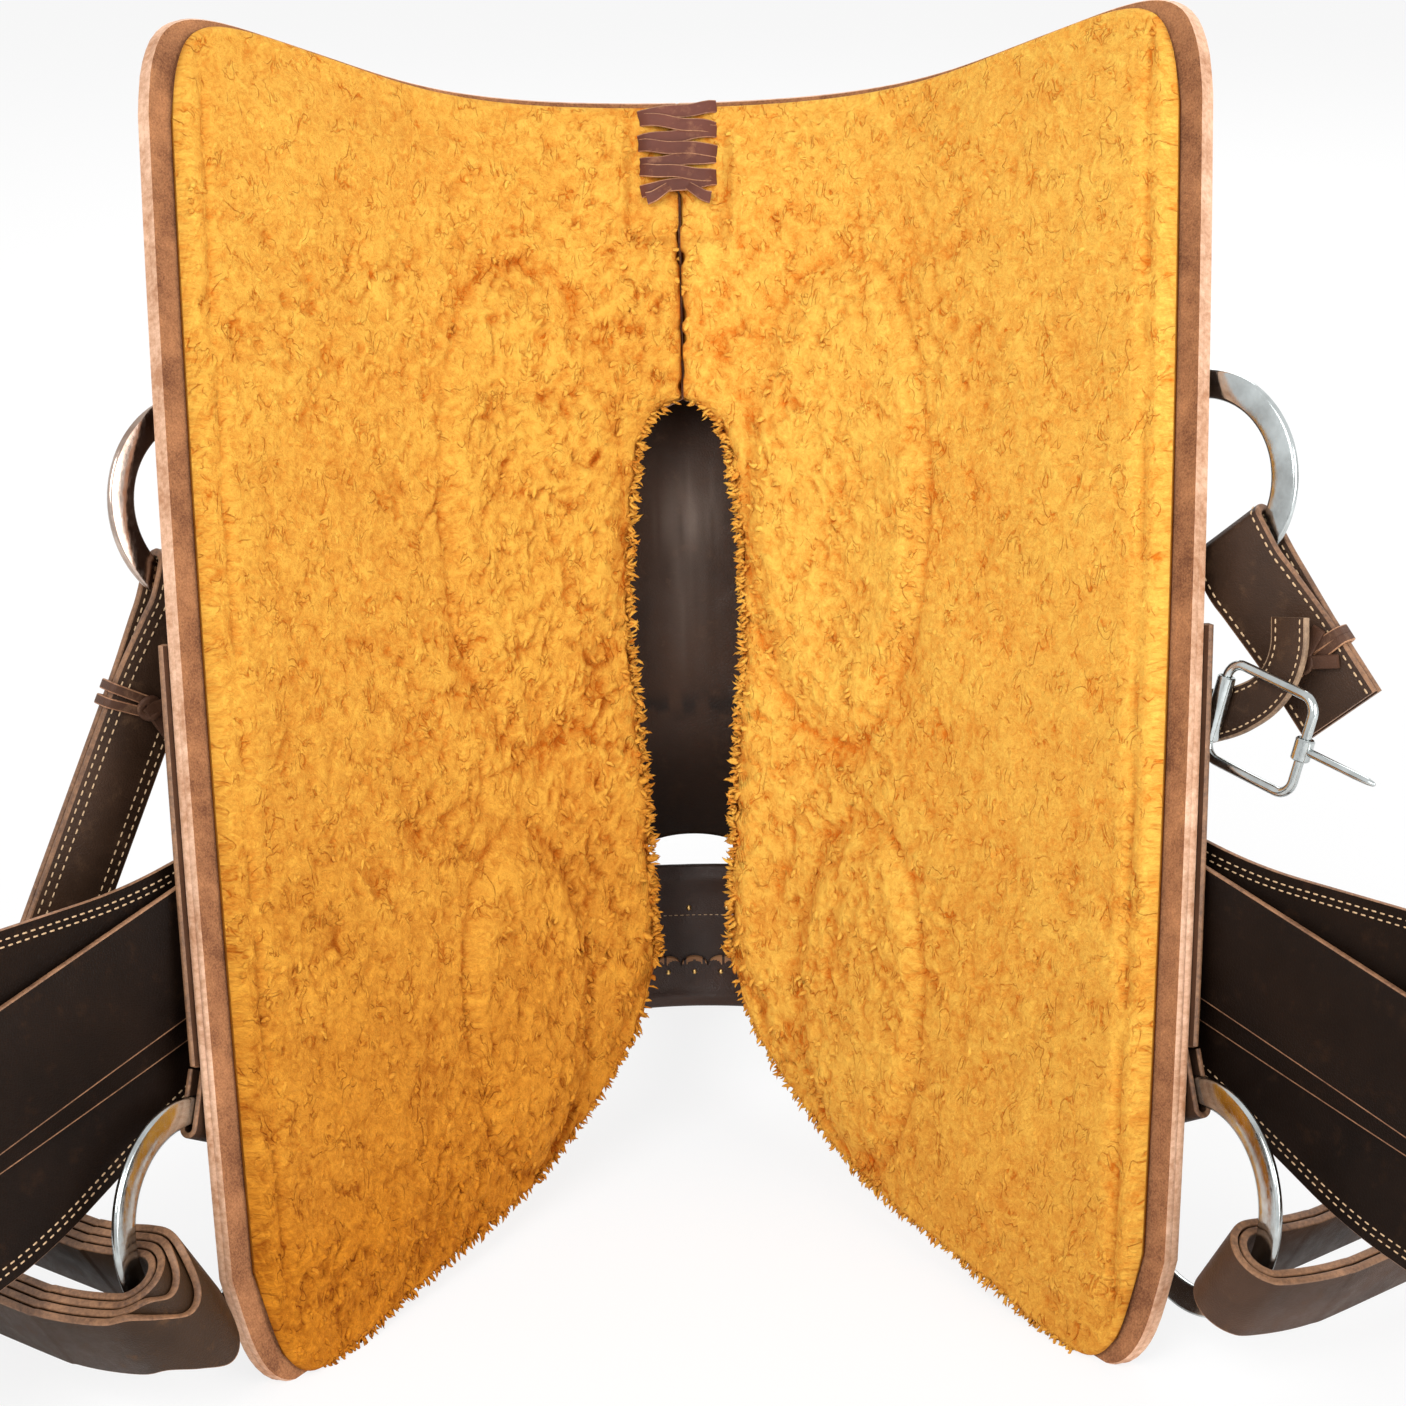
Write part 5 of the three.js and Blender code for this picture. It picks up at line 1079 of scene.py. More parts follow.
tree, given, result = new_group(
    "worn_steel", [("Steel", COLOUR, WHITE), ("Tarnish", COLOUR, WHITE), ("Age", NUMBER, 0.5)],
    [("Colour", COLOUR), ("Roughness", NUMBER), ("Height", NUMBER)])
steel_group = tree
place = add_node(tree, "ShaderNodeTexCoord").outputs["Object"]
cloud = noise(tree, place, 32.0, 4.0, Roughness=0.6)
scratch = noise(tree, scaled(tree, place, (900.0, 60.0, 300.0)), 1.0, 3.0)
aged = ranged(tree, cloud, 0.38, 0.68, 0.0, given.outputs["Age"])
fill_in(tree, result, {"Colour": mixed(tree, aged, given.outputs["Steel"], given.outputs["Tarnish"]),
                       "Roughness": ranged(tree, scratch, 0.35, 0.7, 0.1, 0.26), "Height": scratch})


def worn_steel(name, steel, tarnish, age):
    """Polished steel with a tarnish of its own colour and amount."""
    return group_finish(name, steel_group, {"Steel": (*steel, 1), "Tarnish": (*tarnish, 1), "Age": age}, 0.25,
                        0.0001, Metallic=1.0)


def band_piece(name, node, frame, path, wide_axis, section, finishes, body, crease=40.0):
    """A band along a path in a frame. It has one finish, or one each for its wide faces and its edges."""
    points, faces = band(path, section, wide_axis)
    which = band_finishes(faces) if len(finishes) > 1 else None
    make_piece(name, placed(frame, points), faces, finishes, body, which, crease, [node])


def arc_points(centre, first, second, radius, start, stop, count):
    """Points of an arc in the plane of two axes, between two angles in degrees."""
    angle = np.radians(np.linspace(start, stop, count))[:, None]
    return np.array(centre) + radius * (np.cos(angle) * first + np.sin(angle) * second)


ACROSS, OFF, OUT = np.array([1.0, 0, 0]), np.array([0, 1.0, 0]), np.array([0, 0, -1.0])
RING_BAND, RING_THICK, HANGER = 16.0, 4.5, 3.0
RING_MIDDLE = HANGER + TOUCH + RING_THICK / 2
FRONT_RING, REAR_RING = 64.0, 60.0
FRONT_TAIL, REAR_TAIL = 12.0, 24.0
THREAD_PROUD = 0.02
RING_TILT = 9.0
bright_steel = worn_steel("bright_steel", (0.56, 0.6, 0.6), (0.2, 0.2, 0.19), 0.7)
brown_steel = worn_steel("brown_steel", (0.5, 0.4, 0.34), (0.2, 0.11, 0.07), 0.9)
hanger_leather = grain_leather("hanger_leather", (0.04, 0.018, 0.009), (0.14, 0.07, 0.035), 650.0, 0.3, 0.2)
brown_edge = raw_leather("brown_edge", (0.33, 0.165, 0.08), (0.09, 0.04, 0.02))
rings = {}
for name, side in SIDES:
    drop = 15.0 * math.sin(math.radians(RING_TILT))
    rings["front", side] = (side_frame(side, 335.0, 192.0, SKIRT_TOP + 2 * TOUCH + drop, RING_TILT)
                            @ turn_about(1, -side * 14.0))
    pivot = 339.0 - (26.0 if side < 0 else 0.0) - REAR_RING - REAR_TAIL
    rings["rear", side] = (side_frame(side, pivot, -115.0, SKIRT_TOP + 6 * TOUCH, -4.0)
                           @ turn_about(1, -side * 90.0))
    for end, radius, tail in (("front", FRONT_RING, FRONT_TAIL), ("rear", REAR_RING, REAR_TAIL)):
        frame = rings[end, side]
        body = f"{end}_ring_{name}_body"
        metal = brown_steel if (end, side) == ("rear", -1) else bright_steel
        turn = whole_turn(96)
        out = xyz(np.cos(turn), 0.0, np.sin(turn))
        path = np.array([0, RING_MIDDLE, -(tail + radius)]) + (radius - RING_BAND / 2) * out
        points, faces = swept(path, out, np.broadcast_to(OFF, path.shape),
                              rounded_section(RING_BAND, RING_THICK, 0.42), True)
        make_piece(f"{end}_ring_steel_{name}", placed(frame, points), faces, [metal], body, None, 60.0,
                   [f"{end}_ring_{name}"])
        reach = tail + RING_BAND + 3.0
        low, high = HANGER / 2, 2 * RING_MIDDLE - HANGER / 2
        z = np.linspace(0, -reach * 0.9, 8)
        fold = arc_points((0, RING_MIDDLE, -reach), OFF, OUT, RING_MIDDLE - low, 180, 0, 14)
        path = np.concatenate([xyz(0, low, z), fold, xyz(0, high, z[::-1])])
        band_piece(f"{end}_ring_leather_{name}", f"{end}_ring_hanger_{name}", frame, path, ACROSS,
                   rounded_section(30.0, HANGER), [hanger_leather, hanger_leather, brown_edge], body)
        z = np.linspace(-2, -tail + 3, 20)
        rows = [row_of_stitches(xyz(across, height, z), OFF * up, 3.6, 2.9, 0.4) for across in (-11.5, 11.5)
                for height, up in ((-THREAD_PROUD, -1.0), (2 * RING_MIDDLE + THREAD_PROUD, 1.0))]
        add_stitches(f"{end}_ring_stitching_{name}", rows, body, frame)

# Cinch straps. The latigo on the left and the billet on the right are wound round and round through the front
# rings: thick dark harness leather, smooth on its faces, with lighter cut edges where the layers show.
STRAP_WIDE, STRAP_THICK = 45.0, 4.3


def ring_seat(radius, width):
    """How far inside the middle of the band a strap's edges meet the ring."""
    return radius - RING_BAND / 2 - math.sqrt((radius - RING_BAND) ** 2 - (width / 2) ** 2)


def ring_foot(frame, radius, tail, around, seat):
    """The place on a ring's band, some degrees round from its lowest point, where a strap hangs."""
    return (frame @ shift(0, RING_MIDDLE, -(tail + radius)) @ turn_about(1, around)
            @ shift(0, 0, seat - (radius - RING_BAND / 2)))


def coil_path(side, turns, reach):
    """The middle line of a wound strap: nested loops round the band that reach outward and slant aside. Their
    inner sides pass through a row of stations, each a place and a heading."""
    seat = ring_seat(FRONT_RING, STRAP_WIDE)
    radius = (seat + RING_BAND / 2) / 2 + 0.75 + STRAP_THICK / 2
    path = []

    def heading(share):
        """The strap swings a little further out towards its end."""
        return math.radians(86.0 + 17.0 * share)

    def ahead(angle, far):
        """A step in a direction."""
        return np.array([math.cos(angle), math.sin(angle)]) * far

    def put(station, offset, turn):
        """Adds a point, squarely off a station or round it; past the ring it slants aside."""
        flat = station[0] + ahead(station[1] + math.radians(turn), offset)
        aside = -side * 26.0 * smooth((-flat[1] - RING_BAND - STRAP_THICK / 2) / radius)
        path.append([aside, flat[1], -flat[0]])

    stations = [(np.array([(RING_BAND / 2 - seat) / 2, 0.0]), heading(0))]
    for step in range(3):
        stations.append((stations[-1][0] + ahead(heading((step + 0.5) / 3), 20.0), heading((step + 1) / 3)))
    stations.append((stations[-1][0] + ahead(stations[-1][1], reach), stations[-1][1]))
    for turn in range(turns):
        offset = radius + (STRAP_THICK + LAYER_GAP) * turn
        for station in stations[::-1]:
            put(station, offset, 90)
        for k in range(1, 7):
            put(stations[0], offset, 90 + 180 * k / 7)
        for station in stations:
            put(station, offset, -90)
        if turn < turns - 1:
            for k in range(1, 7):
                put(stations[-1], offset + (STRAP_THICK + LAYER_GAP) * k / 7, -90 + 180 * k / 7)
    return np.array(path)


latigo_leather = grain_leather("latigo_leather", (0.036, 0.016, 0.006), (0.2, 0.09, 0.03), 620.0, 0.35, 0.25)
billet_leather = grain_leather("billet_leather", (0.065, 0.032, 0.018), (0.17, 0.085, 0.04), 620.0, 0.35, 0.2)
for piece, side, turns, reach, around, leather in (("latigo", -1, 4, 150.0, 31.0, latigo_leather),
                                                   ("off_billet", 1, 2, 110.0, -31.0, billet_leather)):
    foot = ring_foot(rings["front", side], FRONT_RING, FRONT_TAIL, around, 0.0)
    path = curve_through(coil_path(side, turns, reach), 260 * turns)
    band_piece(f"{piece}_strap", piece, foot, path, ACROSS, rounded_section(STRAP_WIDE, STRAP_THICK, 0.26),
               [leather, leather, brown_edge], f"{piece}_body")

# Flank billets. Doubled straps folded round the rear rings and closed by a knotted lace; cream stitches run
# along them, four rows on the long left one and one along each edge of the short right one.
PLY_GAP = 0.6
FOLD_RADIUS = RING_THICK / 2 + 3.0 + STRAP_THICK / 2
KEEPER, LACE_ROOM, LACE_ROUND = 62.0, 1.2, 2.4


def billet_path(length, climb, closing, seat):
    """The middle line of a folded billet: one ply up to the ring, round its band, and the other ply back."""
    rise = math.tan(math.radians(climb))
    close = (STRAP_THICK + PLY_GAP) / 2

    def ply(sign, far):
        """A place on the near or the far ply, so far from the ring."""
        return np.array([0, far * rise + sign * close, -far - seat])

    def steps(a, b, count):
        """Even steps from one place to the next, without the last."""
        return a + (b - a) * np.linspace(0, 1, count)[:-1, None]

    before, after = (np.array([0, sign * FOLD_RADIUS, -(seat + RING_BAND / 2)]) for sign in (-1, 1))
    bend = arc_points((0, 0, -4.4), OFF, OUT, FOLD_RADIUS, 180, 360, 15)
    return np.concatenate([steps(ply(-1, length), ply(-1, closing), 40), steps(ply(-1, closing), before, 8),
                           [before], bend, steps(after, ply(1, closing), 8),
                           steps(ply(1, closing), ply(1, length), 40), [ply(1, length)]])


def rounded_loop(half_wide, half_high, radius, count):
    """A rectangle's outline with rounded corners, of so many points each, as pairs across and up."""
    corners = []
    for w, t, start in ((1, -1, -90), (1, 1, 0), (-1, 1, 90), (-1, -1, 180)):
        angle = np.radians(np.linspace(start, start + 90, count))
        corners.append(np.stack([w * (half_wide - radius) + radius * np.cos(angle),
                                 t * (half_high - radius) + radius * np.sin(angle)], -1))
    return np.concatenate(corners)


flank_leather = grain_leather("flank_leather", (0.05, 0.025, 0.014), (0.17, 0.09, 0.045), 560.0, 0.4, 0.2)
knot_lace = grain_leather("knot_lace", (0.1, 0.045, 0.026), (0.4, 0.22, 0.12), 900.0, 0.4, 0.2)
for piece, side, width, length, climb, around, rows_at in (
        ("near_flank", -1, 45.0, 300.0, 14.0, -74.0, (-18.6, -13.6, 13.6, 18.6)),
        ("off_flank", 1, 50.0, 96.0, 10.0, 60.0, (-21.0, 21.0))):
    seat = ring_seat(REAR_RING, width)
    foot = ring_foot(rings["rear", side], REAR_RING, REAR_TAIL, around, seat)
    body = f"{piece}_body"
    path = curve_through(billet_path(length, climb, KEEPER - 12.0, seat)[::2], 220)
    band_piece(f"{piece}_billet_strap", f"{piece}_billet", foot, path, ACROSS,
               rounded_section(width, STRAP_THICK, 0.26), [flank_leather, flank_leather, brown_edge], body)
    wide, face = axes_along(path, ACROSS)
    proud = face * (STRAP_THICK / 2 + THREAD_PROUD)
    rows = [row_of_stitches(path + wide * across + proud * level, face * level, 5.2, 4.0, 0.55)
            for across in rows_at for level in (-1, 1)]
    add_stitches(f"{piece}_stitching", rows, body, foot)
    # The lace that closes it: two wraps, two tails and a knot.
    keeper = foot @ shift(0, KEEPER * math.tan(math.radians(climb)), -KEEPER - seat) @ turn_about(0, climb)
    thick = 2 * STRAP_THICK + PLY_GAP + LACE_ROOM
    outline = rounded_loop((width + LACE_ROOM) / 2 + LACE_ROOM, thick / 2 + LACE_ROOM, LACE_ROUND, 6)
    bands = []
    for step, lean in ((-3.2, 0.05), (3.2, -0.04)):
        path = np.column_stack([outline, step + lean * outline[:, 0]])
        bands.append(band(path, rounded_section(5.6, 2.2), (0, 0, 1.0), loop=True))
    points, faces = joined(bands)
    make_piece(f"{piece}_lace_wraps", placed(keeper, points), faces, [knot_lace, knot_lace, lace_edge], body,
               band_finishes(faces), 40.0, [f"{piece}_lace"])
    level = -(thick / 2 + LACE_ROUND * 1.3)
    knots = xyz([-2.0, 4.0, 12.0, 21.5], level + np.array([-1.2, -1.0, 0, 0.4]), 0)
    bands = []
    for aside in (-25.0, 30.0):
        path = curve_through(placed(turn_about(1, aside), knots), 16)
        bands.append(band(path, rounded_section(7.4, 2.6), face_axis=OFF))
    turn = whole_turn(24)
    path = xyz(0.5 + 5.6 * np.cos(turn), level - 0.6 + 0.9 * np.sin(2 * turn), 5.0 * np.sin(turn))
    points, faces = band(path, rounded_section(4.4, 2.6, 0.45), face_axis=OFF, loop=True)
    bands.append((points, faces + [np.zeros((0, 3), int)]))
    points, faces = joined(bands)
    make_piece(f"{piece}_lace_knot", placed(keeper, points), faces, [knot_lace], body, None, 50.0)

# Flank strap and buckle. A narrower stitched strap goes over the roller of a steel wire buckle and back
# behind the skirt; its tongue swings on the far wire.
FAR, BUCKLE_HIGH, CORNER, WIRE = 60.0, 54.0, 9.0, 2.75
BUCKLE_LIFT, ROLLER = 24.0, 5.0
buckle_at = side_frame(1, 352.0, 8.0, BUCKLE_LIFT, 0.0)
resting = SKIRT_TOP + 2 * TOUCH + 4.0 + LAYER_GAP + STRAP_THICK / 2 - BUCKLE_LIFT
over_roller = ROLLER + STRAP_THICK / 2 + 2 * TOUCH
course = np.array([[0.72, 0.78, 1], [0.7, 0.5, 1], [0.6, 0.27, 1], [0.42, 0.1, 1], [0.2, 0, 1], [0, -0.05, 1],
                   [-0.28, -0.08, 1], [-0.45, -0.1, 0.7], [-0.65, -0.1, 0.2], [-0.95, -0.1, 0]])
along, ahead, rise = course.T
path = curve_through(xyz(along * FAR, resting + (over_roller - resting) * rise, ahead * FAR), 90)
wide, face = axes_along(path, face_axis=OFF)
width = 32.0 * (0.72 + 0.28 * smooth(even(89) * 1.6 - 0.4))
across, high = rounded_section(10.0, STRAP_THICK, 0.28).T
across = np.sign(across) * (width[:, None] / 2 + np.abs(across) - 5.0)
points, faces = swept(path, wide, face, np.stack([across, np.broadcast_to(high, across.shape)], -1))
flank_edge = raw_leather("flank_edge", (0.42, 0.27, 0.16), (0.14, 0.08, 0.045))
make_piece("flank_strap_leather", placed(buckle_at, points), faces,
           [flank_leather, flank_leather, flank_edge], "off_flank_body", band_finishes(faces), 40.0,
           ["flank_strap"])
aside, proud = wide * (width / 2 - 3.6)[:, None], face * (STRAP_THICK / 2 + THREAD_PROUD)
rows = [row_of_stitches(path + aside * edge + proud * level, face * level, 4.6, 3.6, 0.5)
        for edge in (-1, 1) for level in (-1, 1)]
add_stitches("flank_strap_stitching", rows, "off_flank_body", buckle_at)


def hollow_tube(outer, inner, length, count=40):
    """A tube round z with slightly rounded ends, as a loop profile turned round the axis."""
    soft, half = min(0.8, (outer - inner) / 3), length / 2
    radius, height = np.array([[inner, -half + soft], [inner + soft, -half], [outer - soft, -half],
                               [outer, -half + soft], [outer, half - soft], [outer - soft, half],
                               [inner + soft, half], [inner, half - soft]]).T
    turn = whole_turn(count)[:, None]
    return tube_body(xyz(radius * np.cos(turn), radius * np.sin(turn), height), True)


swing = buckle_at @ turn_about(1, 22.0)
reach = BUCKLE_HIGH / 2 - CORNER
corners = ((FAR - CORNER, -reach, 0), (FAR - CORNER, reach, -90),
           (CORNER, reach, -180), (CORNER, -reach, -270))
path = np.concatenate([arc_points((x, 0.0, z), ACROSS, OUT, CORNER, start + 90, start, 10)
                       for x, z, start in corners])
turn = whole_turn(16)
wire = band(path, WIRE * np.stack([np.cos(turn), np.sin(turn)], -1), face_axis=OFF, loop=True)
post = swing @ shift(FAR, 0, 0)
arm = revolved([[0, 4.9], [2.2, 4.9], [2.25, 12.0], [2.2, 36.0], [1.9, 44.0], [1.3, 48.0], [0.7, 48.9],
                [0, 48.95]], 20, np.zeros(3), ACROSS, OFF)
for name, frame, (points, faces), body, crease, nodes in (
        ("buckle_frame_wire", swing, wire, "buckle_frame_body", 60.0, ["buckle_frame"]),
        ("buckle_roller_tube", swing, hollow_tube(ROLLER, WIRE + TOUCH, 36.0), "buckle_roller_body", 40.0,
         ["buckle_roller"]),
        ("buckle_tongue_eye", post, hollow_tube(WIRE + TOUCH + 2.2, WIRE + TOUCH, 12.0), "buckle_tongue_body",
         40.0, ["buckle_tongue"]),
        ("buckle_tongue_arm", post, arm, "buckle_tongue_body", 60.0, ())):
    make_piece(name, placed(frame, points), faces, [bright_steel], body, None, crease, nodes)

# Fenders. Broad flaps of near-black leather with pale cut edges and a stitched border, each over a doubled
# stirrup leather that is gathered by a hobble strap above the stirrup.
SEAT_SIDE, FENDER_LENGTH, LEATHER_THICK = 205.0, 500.0, 4.0
FENDER_LIFT = SKIRT_TOP + LAYER_GAP + 4.0 + 3 * LAYER_GAP
LEATHER_REAR = 19.0
STIRRUP_CENTRE = 12.5
STIRRUP_DROP = FENDER_LENGTH + 61.0
PLY_PITCH = LEATHER_THICK + TOUCH
HINGE_F, HINGE_TURN = 87.0, 25.0
FENDER_UNDER, FENDER_OVER = 0.4, 3.4
LEATHER_WIDE, BELT_THICK, BOLT = 66.0, 3.0, 7.0
TOP_HALF, TREAD_HALF, HALF_BAR = 46.0, 72.0, 6.5
FENDER_SHAPE = np.array([[0, 0.87], [0.3, 1], [0.55, 1.45], [0.8, 1.5], [0.92, 0.75], [1, 0.6]])
fender_leather = grain_leather("fender_leather", (0.01, 0.005, 0.003), (0.06, 0.027, 0.012), 560.0, 0.3, 0.1)
fender_edge = raw_leather("fender_edge", (0.4, 0.2, 0.1), (0.13, 0.06, 0.03))
fender_cover = [fender_leather, fender_leather, fender_edge]
dark_steel = worn_steel("dark_steel", (0.4, 0.4, 0.39), (0.15, 0.13, 0.11), 0.8)
pale_stirrup = raw_leather("stirrup_wood", (0.56, 0.36, 0.19), (0.33, 0.19, 0.09), 120.0, 8.0, 0.0002, 0.45)


def fender_half(share):
    """Half the fender's width along its length, its corners eased by a running mean."""
    near = np.stack([np.interp(np.clip(share + step, 0, 1), FENDER_SHAPE[:, 0], FENDER_SHAPE[:, 1])
                     for step in np.linspace(-0.05, 0.05, 9)])
    return 60.0 * near.mean(0)


for name, side in SIDES:
    hinge = side_frame(side, SEAT_SIDE + 12.0, HINGE_F, FENDER_LIFT, 0.0) @ turn_about(1, side * HINGE_TURN)
    body = f"fender_{name}_body"
    column, row = np.meshgrid(even(40), dense_ends(150, 1.3))
    wide = STIRRUP_CENTRE * row + (2 * column - 1) * fender_half(row)
    wave = (lumps(row * 500, wide, 70.0, 91) - 0.5) * np.minimum(row * 5, 1) * np.minimum((1 - row) * 5, 1)
    under, over = (xyz(side * FENDER_LENGTH * row, 2 * PLY_PITCH + up + 0.45 * wave, wide)
                   for up in (FENDER_UNDER, FENDER_OVER))
    points, quads, which = sheet_body(placed(hinge, under), placed(hinge, over), 4, 0.3)
    make_piece(f"fender_leather_{name}", points, quads, fender_cover, body, which, 50.0, [f"fender_{name}"])
    share = np.linspace(0.02, 0.97, 240)
    rows = []
    for edge in (-1, 1):
        for inset in (5.0, 8.6):
            wide = STIRRUP_CENTRE * share + edge * (fender_half(share) - inset)
            for up, level in ((FENDER_UNDER - THREAD_PROUD, -1.0), (FENDER_OVER + THREAD_PROUD, 1.0)):
                line = xyz(side * FENDER_LENGTH * share, 2 * PLY_PITCH + up, wide)
                rows.append(row_of_stitches(line, OFF * level, 5.4, 4.1, 0.5, 0.25))
    add_stitches(f"fender_stitching_{name}", rows, body, hinge)
    # The stirrup leather: a doubled strap that runs down behind the fender and round the stirrup's bolt.
    down = side * np.linspace(0, STIRRUP_DROP - 55.0, 40)
    plies = [xyz(down, PLY_PITCH * level, 0) for level in (0.5, 1.5)]
    round_bolt = arc_points((side * STIRRUP_DROP, PLY_PITCH, 0.0), OFF, ACROSS * side,
                            BOLT + TOUCH + LEATHER_THICK / 2, 180, 0, 15)
    path = curve_through(np.concatenate([plies[0], round_bolt, plies[1][::-1]]), 260)
    path[:, 2] += LEATHER_REAR - 13.0 * smooth((even(259) - 0.1) / 0.8)
    band_piece(f"stirrup_leather_strap_{name}", f"stirrup_leather_{name}", hinge, path, (0, 0, 1.0),
               rounded_section(LEATHER_WIDE, LEATHER_THICK, 0.26), fender_cover, body)
    thick = 2 * PLY_PITCH + 3.6 + 2 * TOUCH + BELT_THICK
    outline = rounded_loop((LEATHER_WIDE + 13.0 + 10 * LAYER_GAP + BELT_THICK) / 2, thick / 2, BELT_THICK, 8)
    path = xyz(side * (FENDER_LENGTH - 13.0), (thick - BELT_THICK) / 2 + outline[:, 1],
               STIRRUP_CENTRE + outline[:, 0])
    wide, face = axes_along(path, ACROSS, loop=True)
    points, faces = swept(path, wide, -face, rounded_section(22.0, BELT_THICK), True)
    make_piece(f"hobble_belt_{name}", placed(hinge, points), faces, fender_cover, body, band_finishes(faces),
               40.0, [f"hobble_strap_{name}"])
    # The stirrup: a bent wooden frame that hangs on a steel bolt between the ends of its legs.
    foot = hinge @ shift(side * STIRRUP_DROP, PLY_PITCH, STIRRUP_CENTRE)
    top_x, tread_x, low = TOP_HALF + HALF_BAR, TREAD_HALF + HALF_BAR, 165.0 + HALF_BAR
    leg = [(top_x, -13.0), (top_x, 13.0), (top_x + (tread_x - top_x) * 0.5, 78.0), (tread_x, 143.0)]
    angle = np.radians(np.linspace(0, 90, 12))
    corner = np.array([tread_x - 22.0, low - 22.0]) + 22.0 * np.stack([np.cos(angle), np.sin(angle)], -1)
    right = np.concatenate([leg, corner])
    outline = np.concatenate([right, right[::-1] * [-1, 1]])
    path = curve_through(xyz(side * outline[:, 1], 0, side * outline[:, 0]), 220)
    band_piece(f"stirrup_frame_{name}", f"stirrup_{name}", foot, path, OFF,
               rounded_section(58.0, 2 * HALF_BAR, 0.22), [pale_stirrup], f"stirrup_{name}_body", 50.0)
    reach = TOP_HALF + 13.0 + 4.0
    half = [[BOLT, reach - 3.6], [8.6, reach - 3.4], [8.6, reach - 1], [7.6, reach], [0, reach]]
    profile = [[radius, -height] for radius, height in half[::-1]] + half
    points, faces = revolved(profile, 28, np.zeros(3), -OUT, ACROSS)
    make_piece(f"stirrup_pin_{name}", placed(foot, points), faces, [dark_steel], f"stirrup_{name}_body", None,
               40.0, [f"stirrup_bolt_{name}"])

# Seat and cantle. A padded seat over the ground seat, whose leather climbs the wooden cantle; a leather back
# closes it behind and a stitched roll binds its top.
SEAT_BASE = GROUND_BASE + SEAT_PLATE + 3 * LAYER_GAP
SIDE_LIFT = SKIRT_TOP + LAYER_GAP + 17.0
CANTLE_RUN, CANTLE_EDGE, CANTLE_RISE = 62.0, 5.0, 100.0
COVER_THICK = 4.0


def cantle_rise(arc, f):
    """How high the cantle's slope stands: an arch across, and falling off forward."""
    share = np.minimum(np.abs(arc) / CANTLE_HALF, 1)
    ahead = np.clip((f - cantle_line(arc)) / CANTLE_RUN, 0, 1)
    return CANTLE_RISE * np.sqrt(1 - 0.93 * share * share) * (1 - ahead) ** 1.5


def under_seat(arc, f):
    """The height of the seat's foot: level over the ground seat, then down the bars to its sides."""
    start = bar_middle(f) + 16.0
    down = smooth((np.abs(arc) - start) / (SEAT_SIDE - start))
    return SEAT_BASE + (SIDE_LIFT - SEAT_BASE) * down + front_lift(arc, f)


def seat_under(arc, f):
    """The height of the seat's underside, which clears the cantle."""
    ahead = (f - cantle_line(arc) - CANTLE_RUN) / (2 * CANTLE_EDGE)
    beside = (np.abs(arc) - CANTLE_HALF) / (2 * CANTLE_EDGE)
    clear = 1 - smooth(np.maximum(ahead, beside) - 0.4)
    return under_seat(arc, f) + cantle_rise(arc, f) + (CANTLE_EDGE + 5 * LAYER_GAP) * clear


def seat_over(arc, f):
    """The height of the seat's top: its padding is twice as thick on the cantle."""
    return seat_under(arc, f) + 7.0 * (1 + cantle_rise(arc, f) / CANTLE_RISE)


def seat_front(across):
    """How far forward the seat's front edge lies, from its middle at 0 to its sides at 1."""
    return SEAT_FRONT - 19.0 * (1 - smooth(np.abs(across) * 4))


seat_brown = grain_leather("seat_brown", (0.11, 0.05, 0.027), (0.22, 0.12, 0.065), 620.0, 0.3, 0.2)
brown_cover = [seat_brown, seat_brown, brown_edge]
column, row = np.meshgrid(even(110), np.append(np.linspace(0, 0.26, 40), np.linspace(0.26, 1, 60)[1:]))
arc = (2 * column - 1) * SEAT_SIDE
f = cantle_line(arc) + (seat_front(2 * column - 1) - cantle_line(arc)) * row
seat = laid_sheet("seat_leather", "seat", arc, f, seat_under(arc, f), seat_over(arc, f), brown_cover, 5, 0.35)
across = 2 * np.linspace(0.03, 0.97, 260) - 1
arc = across * SEAT_SIDE
rows = []
for offset in (6.0, 9.5):
    f = seat_front(across) - offset
    line = on_back(arc, f, seat_over(arc, f) + 0.05)
    up = unit(on_back(arc, f, seat_over(arc, f) + 5.0) - line)
    rows.append(row_of_stitches(line, up, 5.0, 4.0, 0.5))
add_stitches("seat_stitching", rows, "saddle")

column, row = np.meshgrid(even(90), even(40))
arc = (2 * column - 1) * CANTLE_HALF
f = cantle_line(arc) + CANTLE_RUN * row
laid_sheet("cantle_wood", "cantle", arc, f, under_seat(arc, f) - 2 * LAYER_GAP,
           under_seat(arc, f) + cantle_rise(arc, f) + CANTLE_EDGE, [pale_wood], 3, 0.0)
f = cantle_line(arc)
face = on_back(arc, f, under_seat(arc, f) + (cantle_rise(arc, f) + CANTLE_EDGE) * row)
points, quads, which = sheet_body(face + [0, 0, LAYER_GAP], face + [0, 0, LAYER_GAP + COVER_THICK], 4, 0.3)
make_piece("cantle_back_leather", points, quads, brown_cover, "saddle", which, 50.0, ["cantle_back"])

across = 2 * even(160)[:, None] - 1
arc, f = across * CANTLE_HALF, cantle_line(across * CANTLE_HALF)
taper = 0.45 + 0.55 * np.sqrt(np.maximum(1 - across ** 2, 0))
turn = whole_turn(20)
roll = on_back(arc, f, seat_over(arc, f) + 3 * LAYER_GAP + 6.5 * (1 + np.sin(turn)) * taper)
roll[..., 2] += 15.0 * taper * np.cos(turn) - 5.0
make_piece("cantle_roll", *tube_body(roll), [seat_brown], "saddle", None, 60.0, ["cantle_binding"])

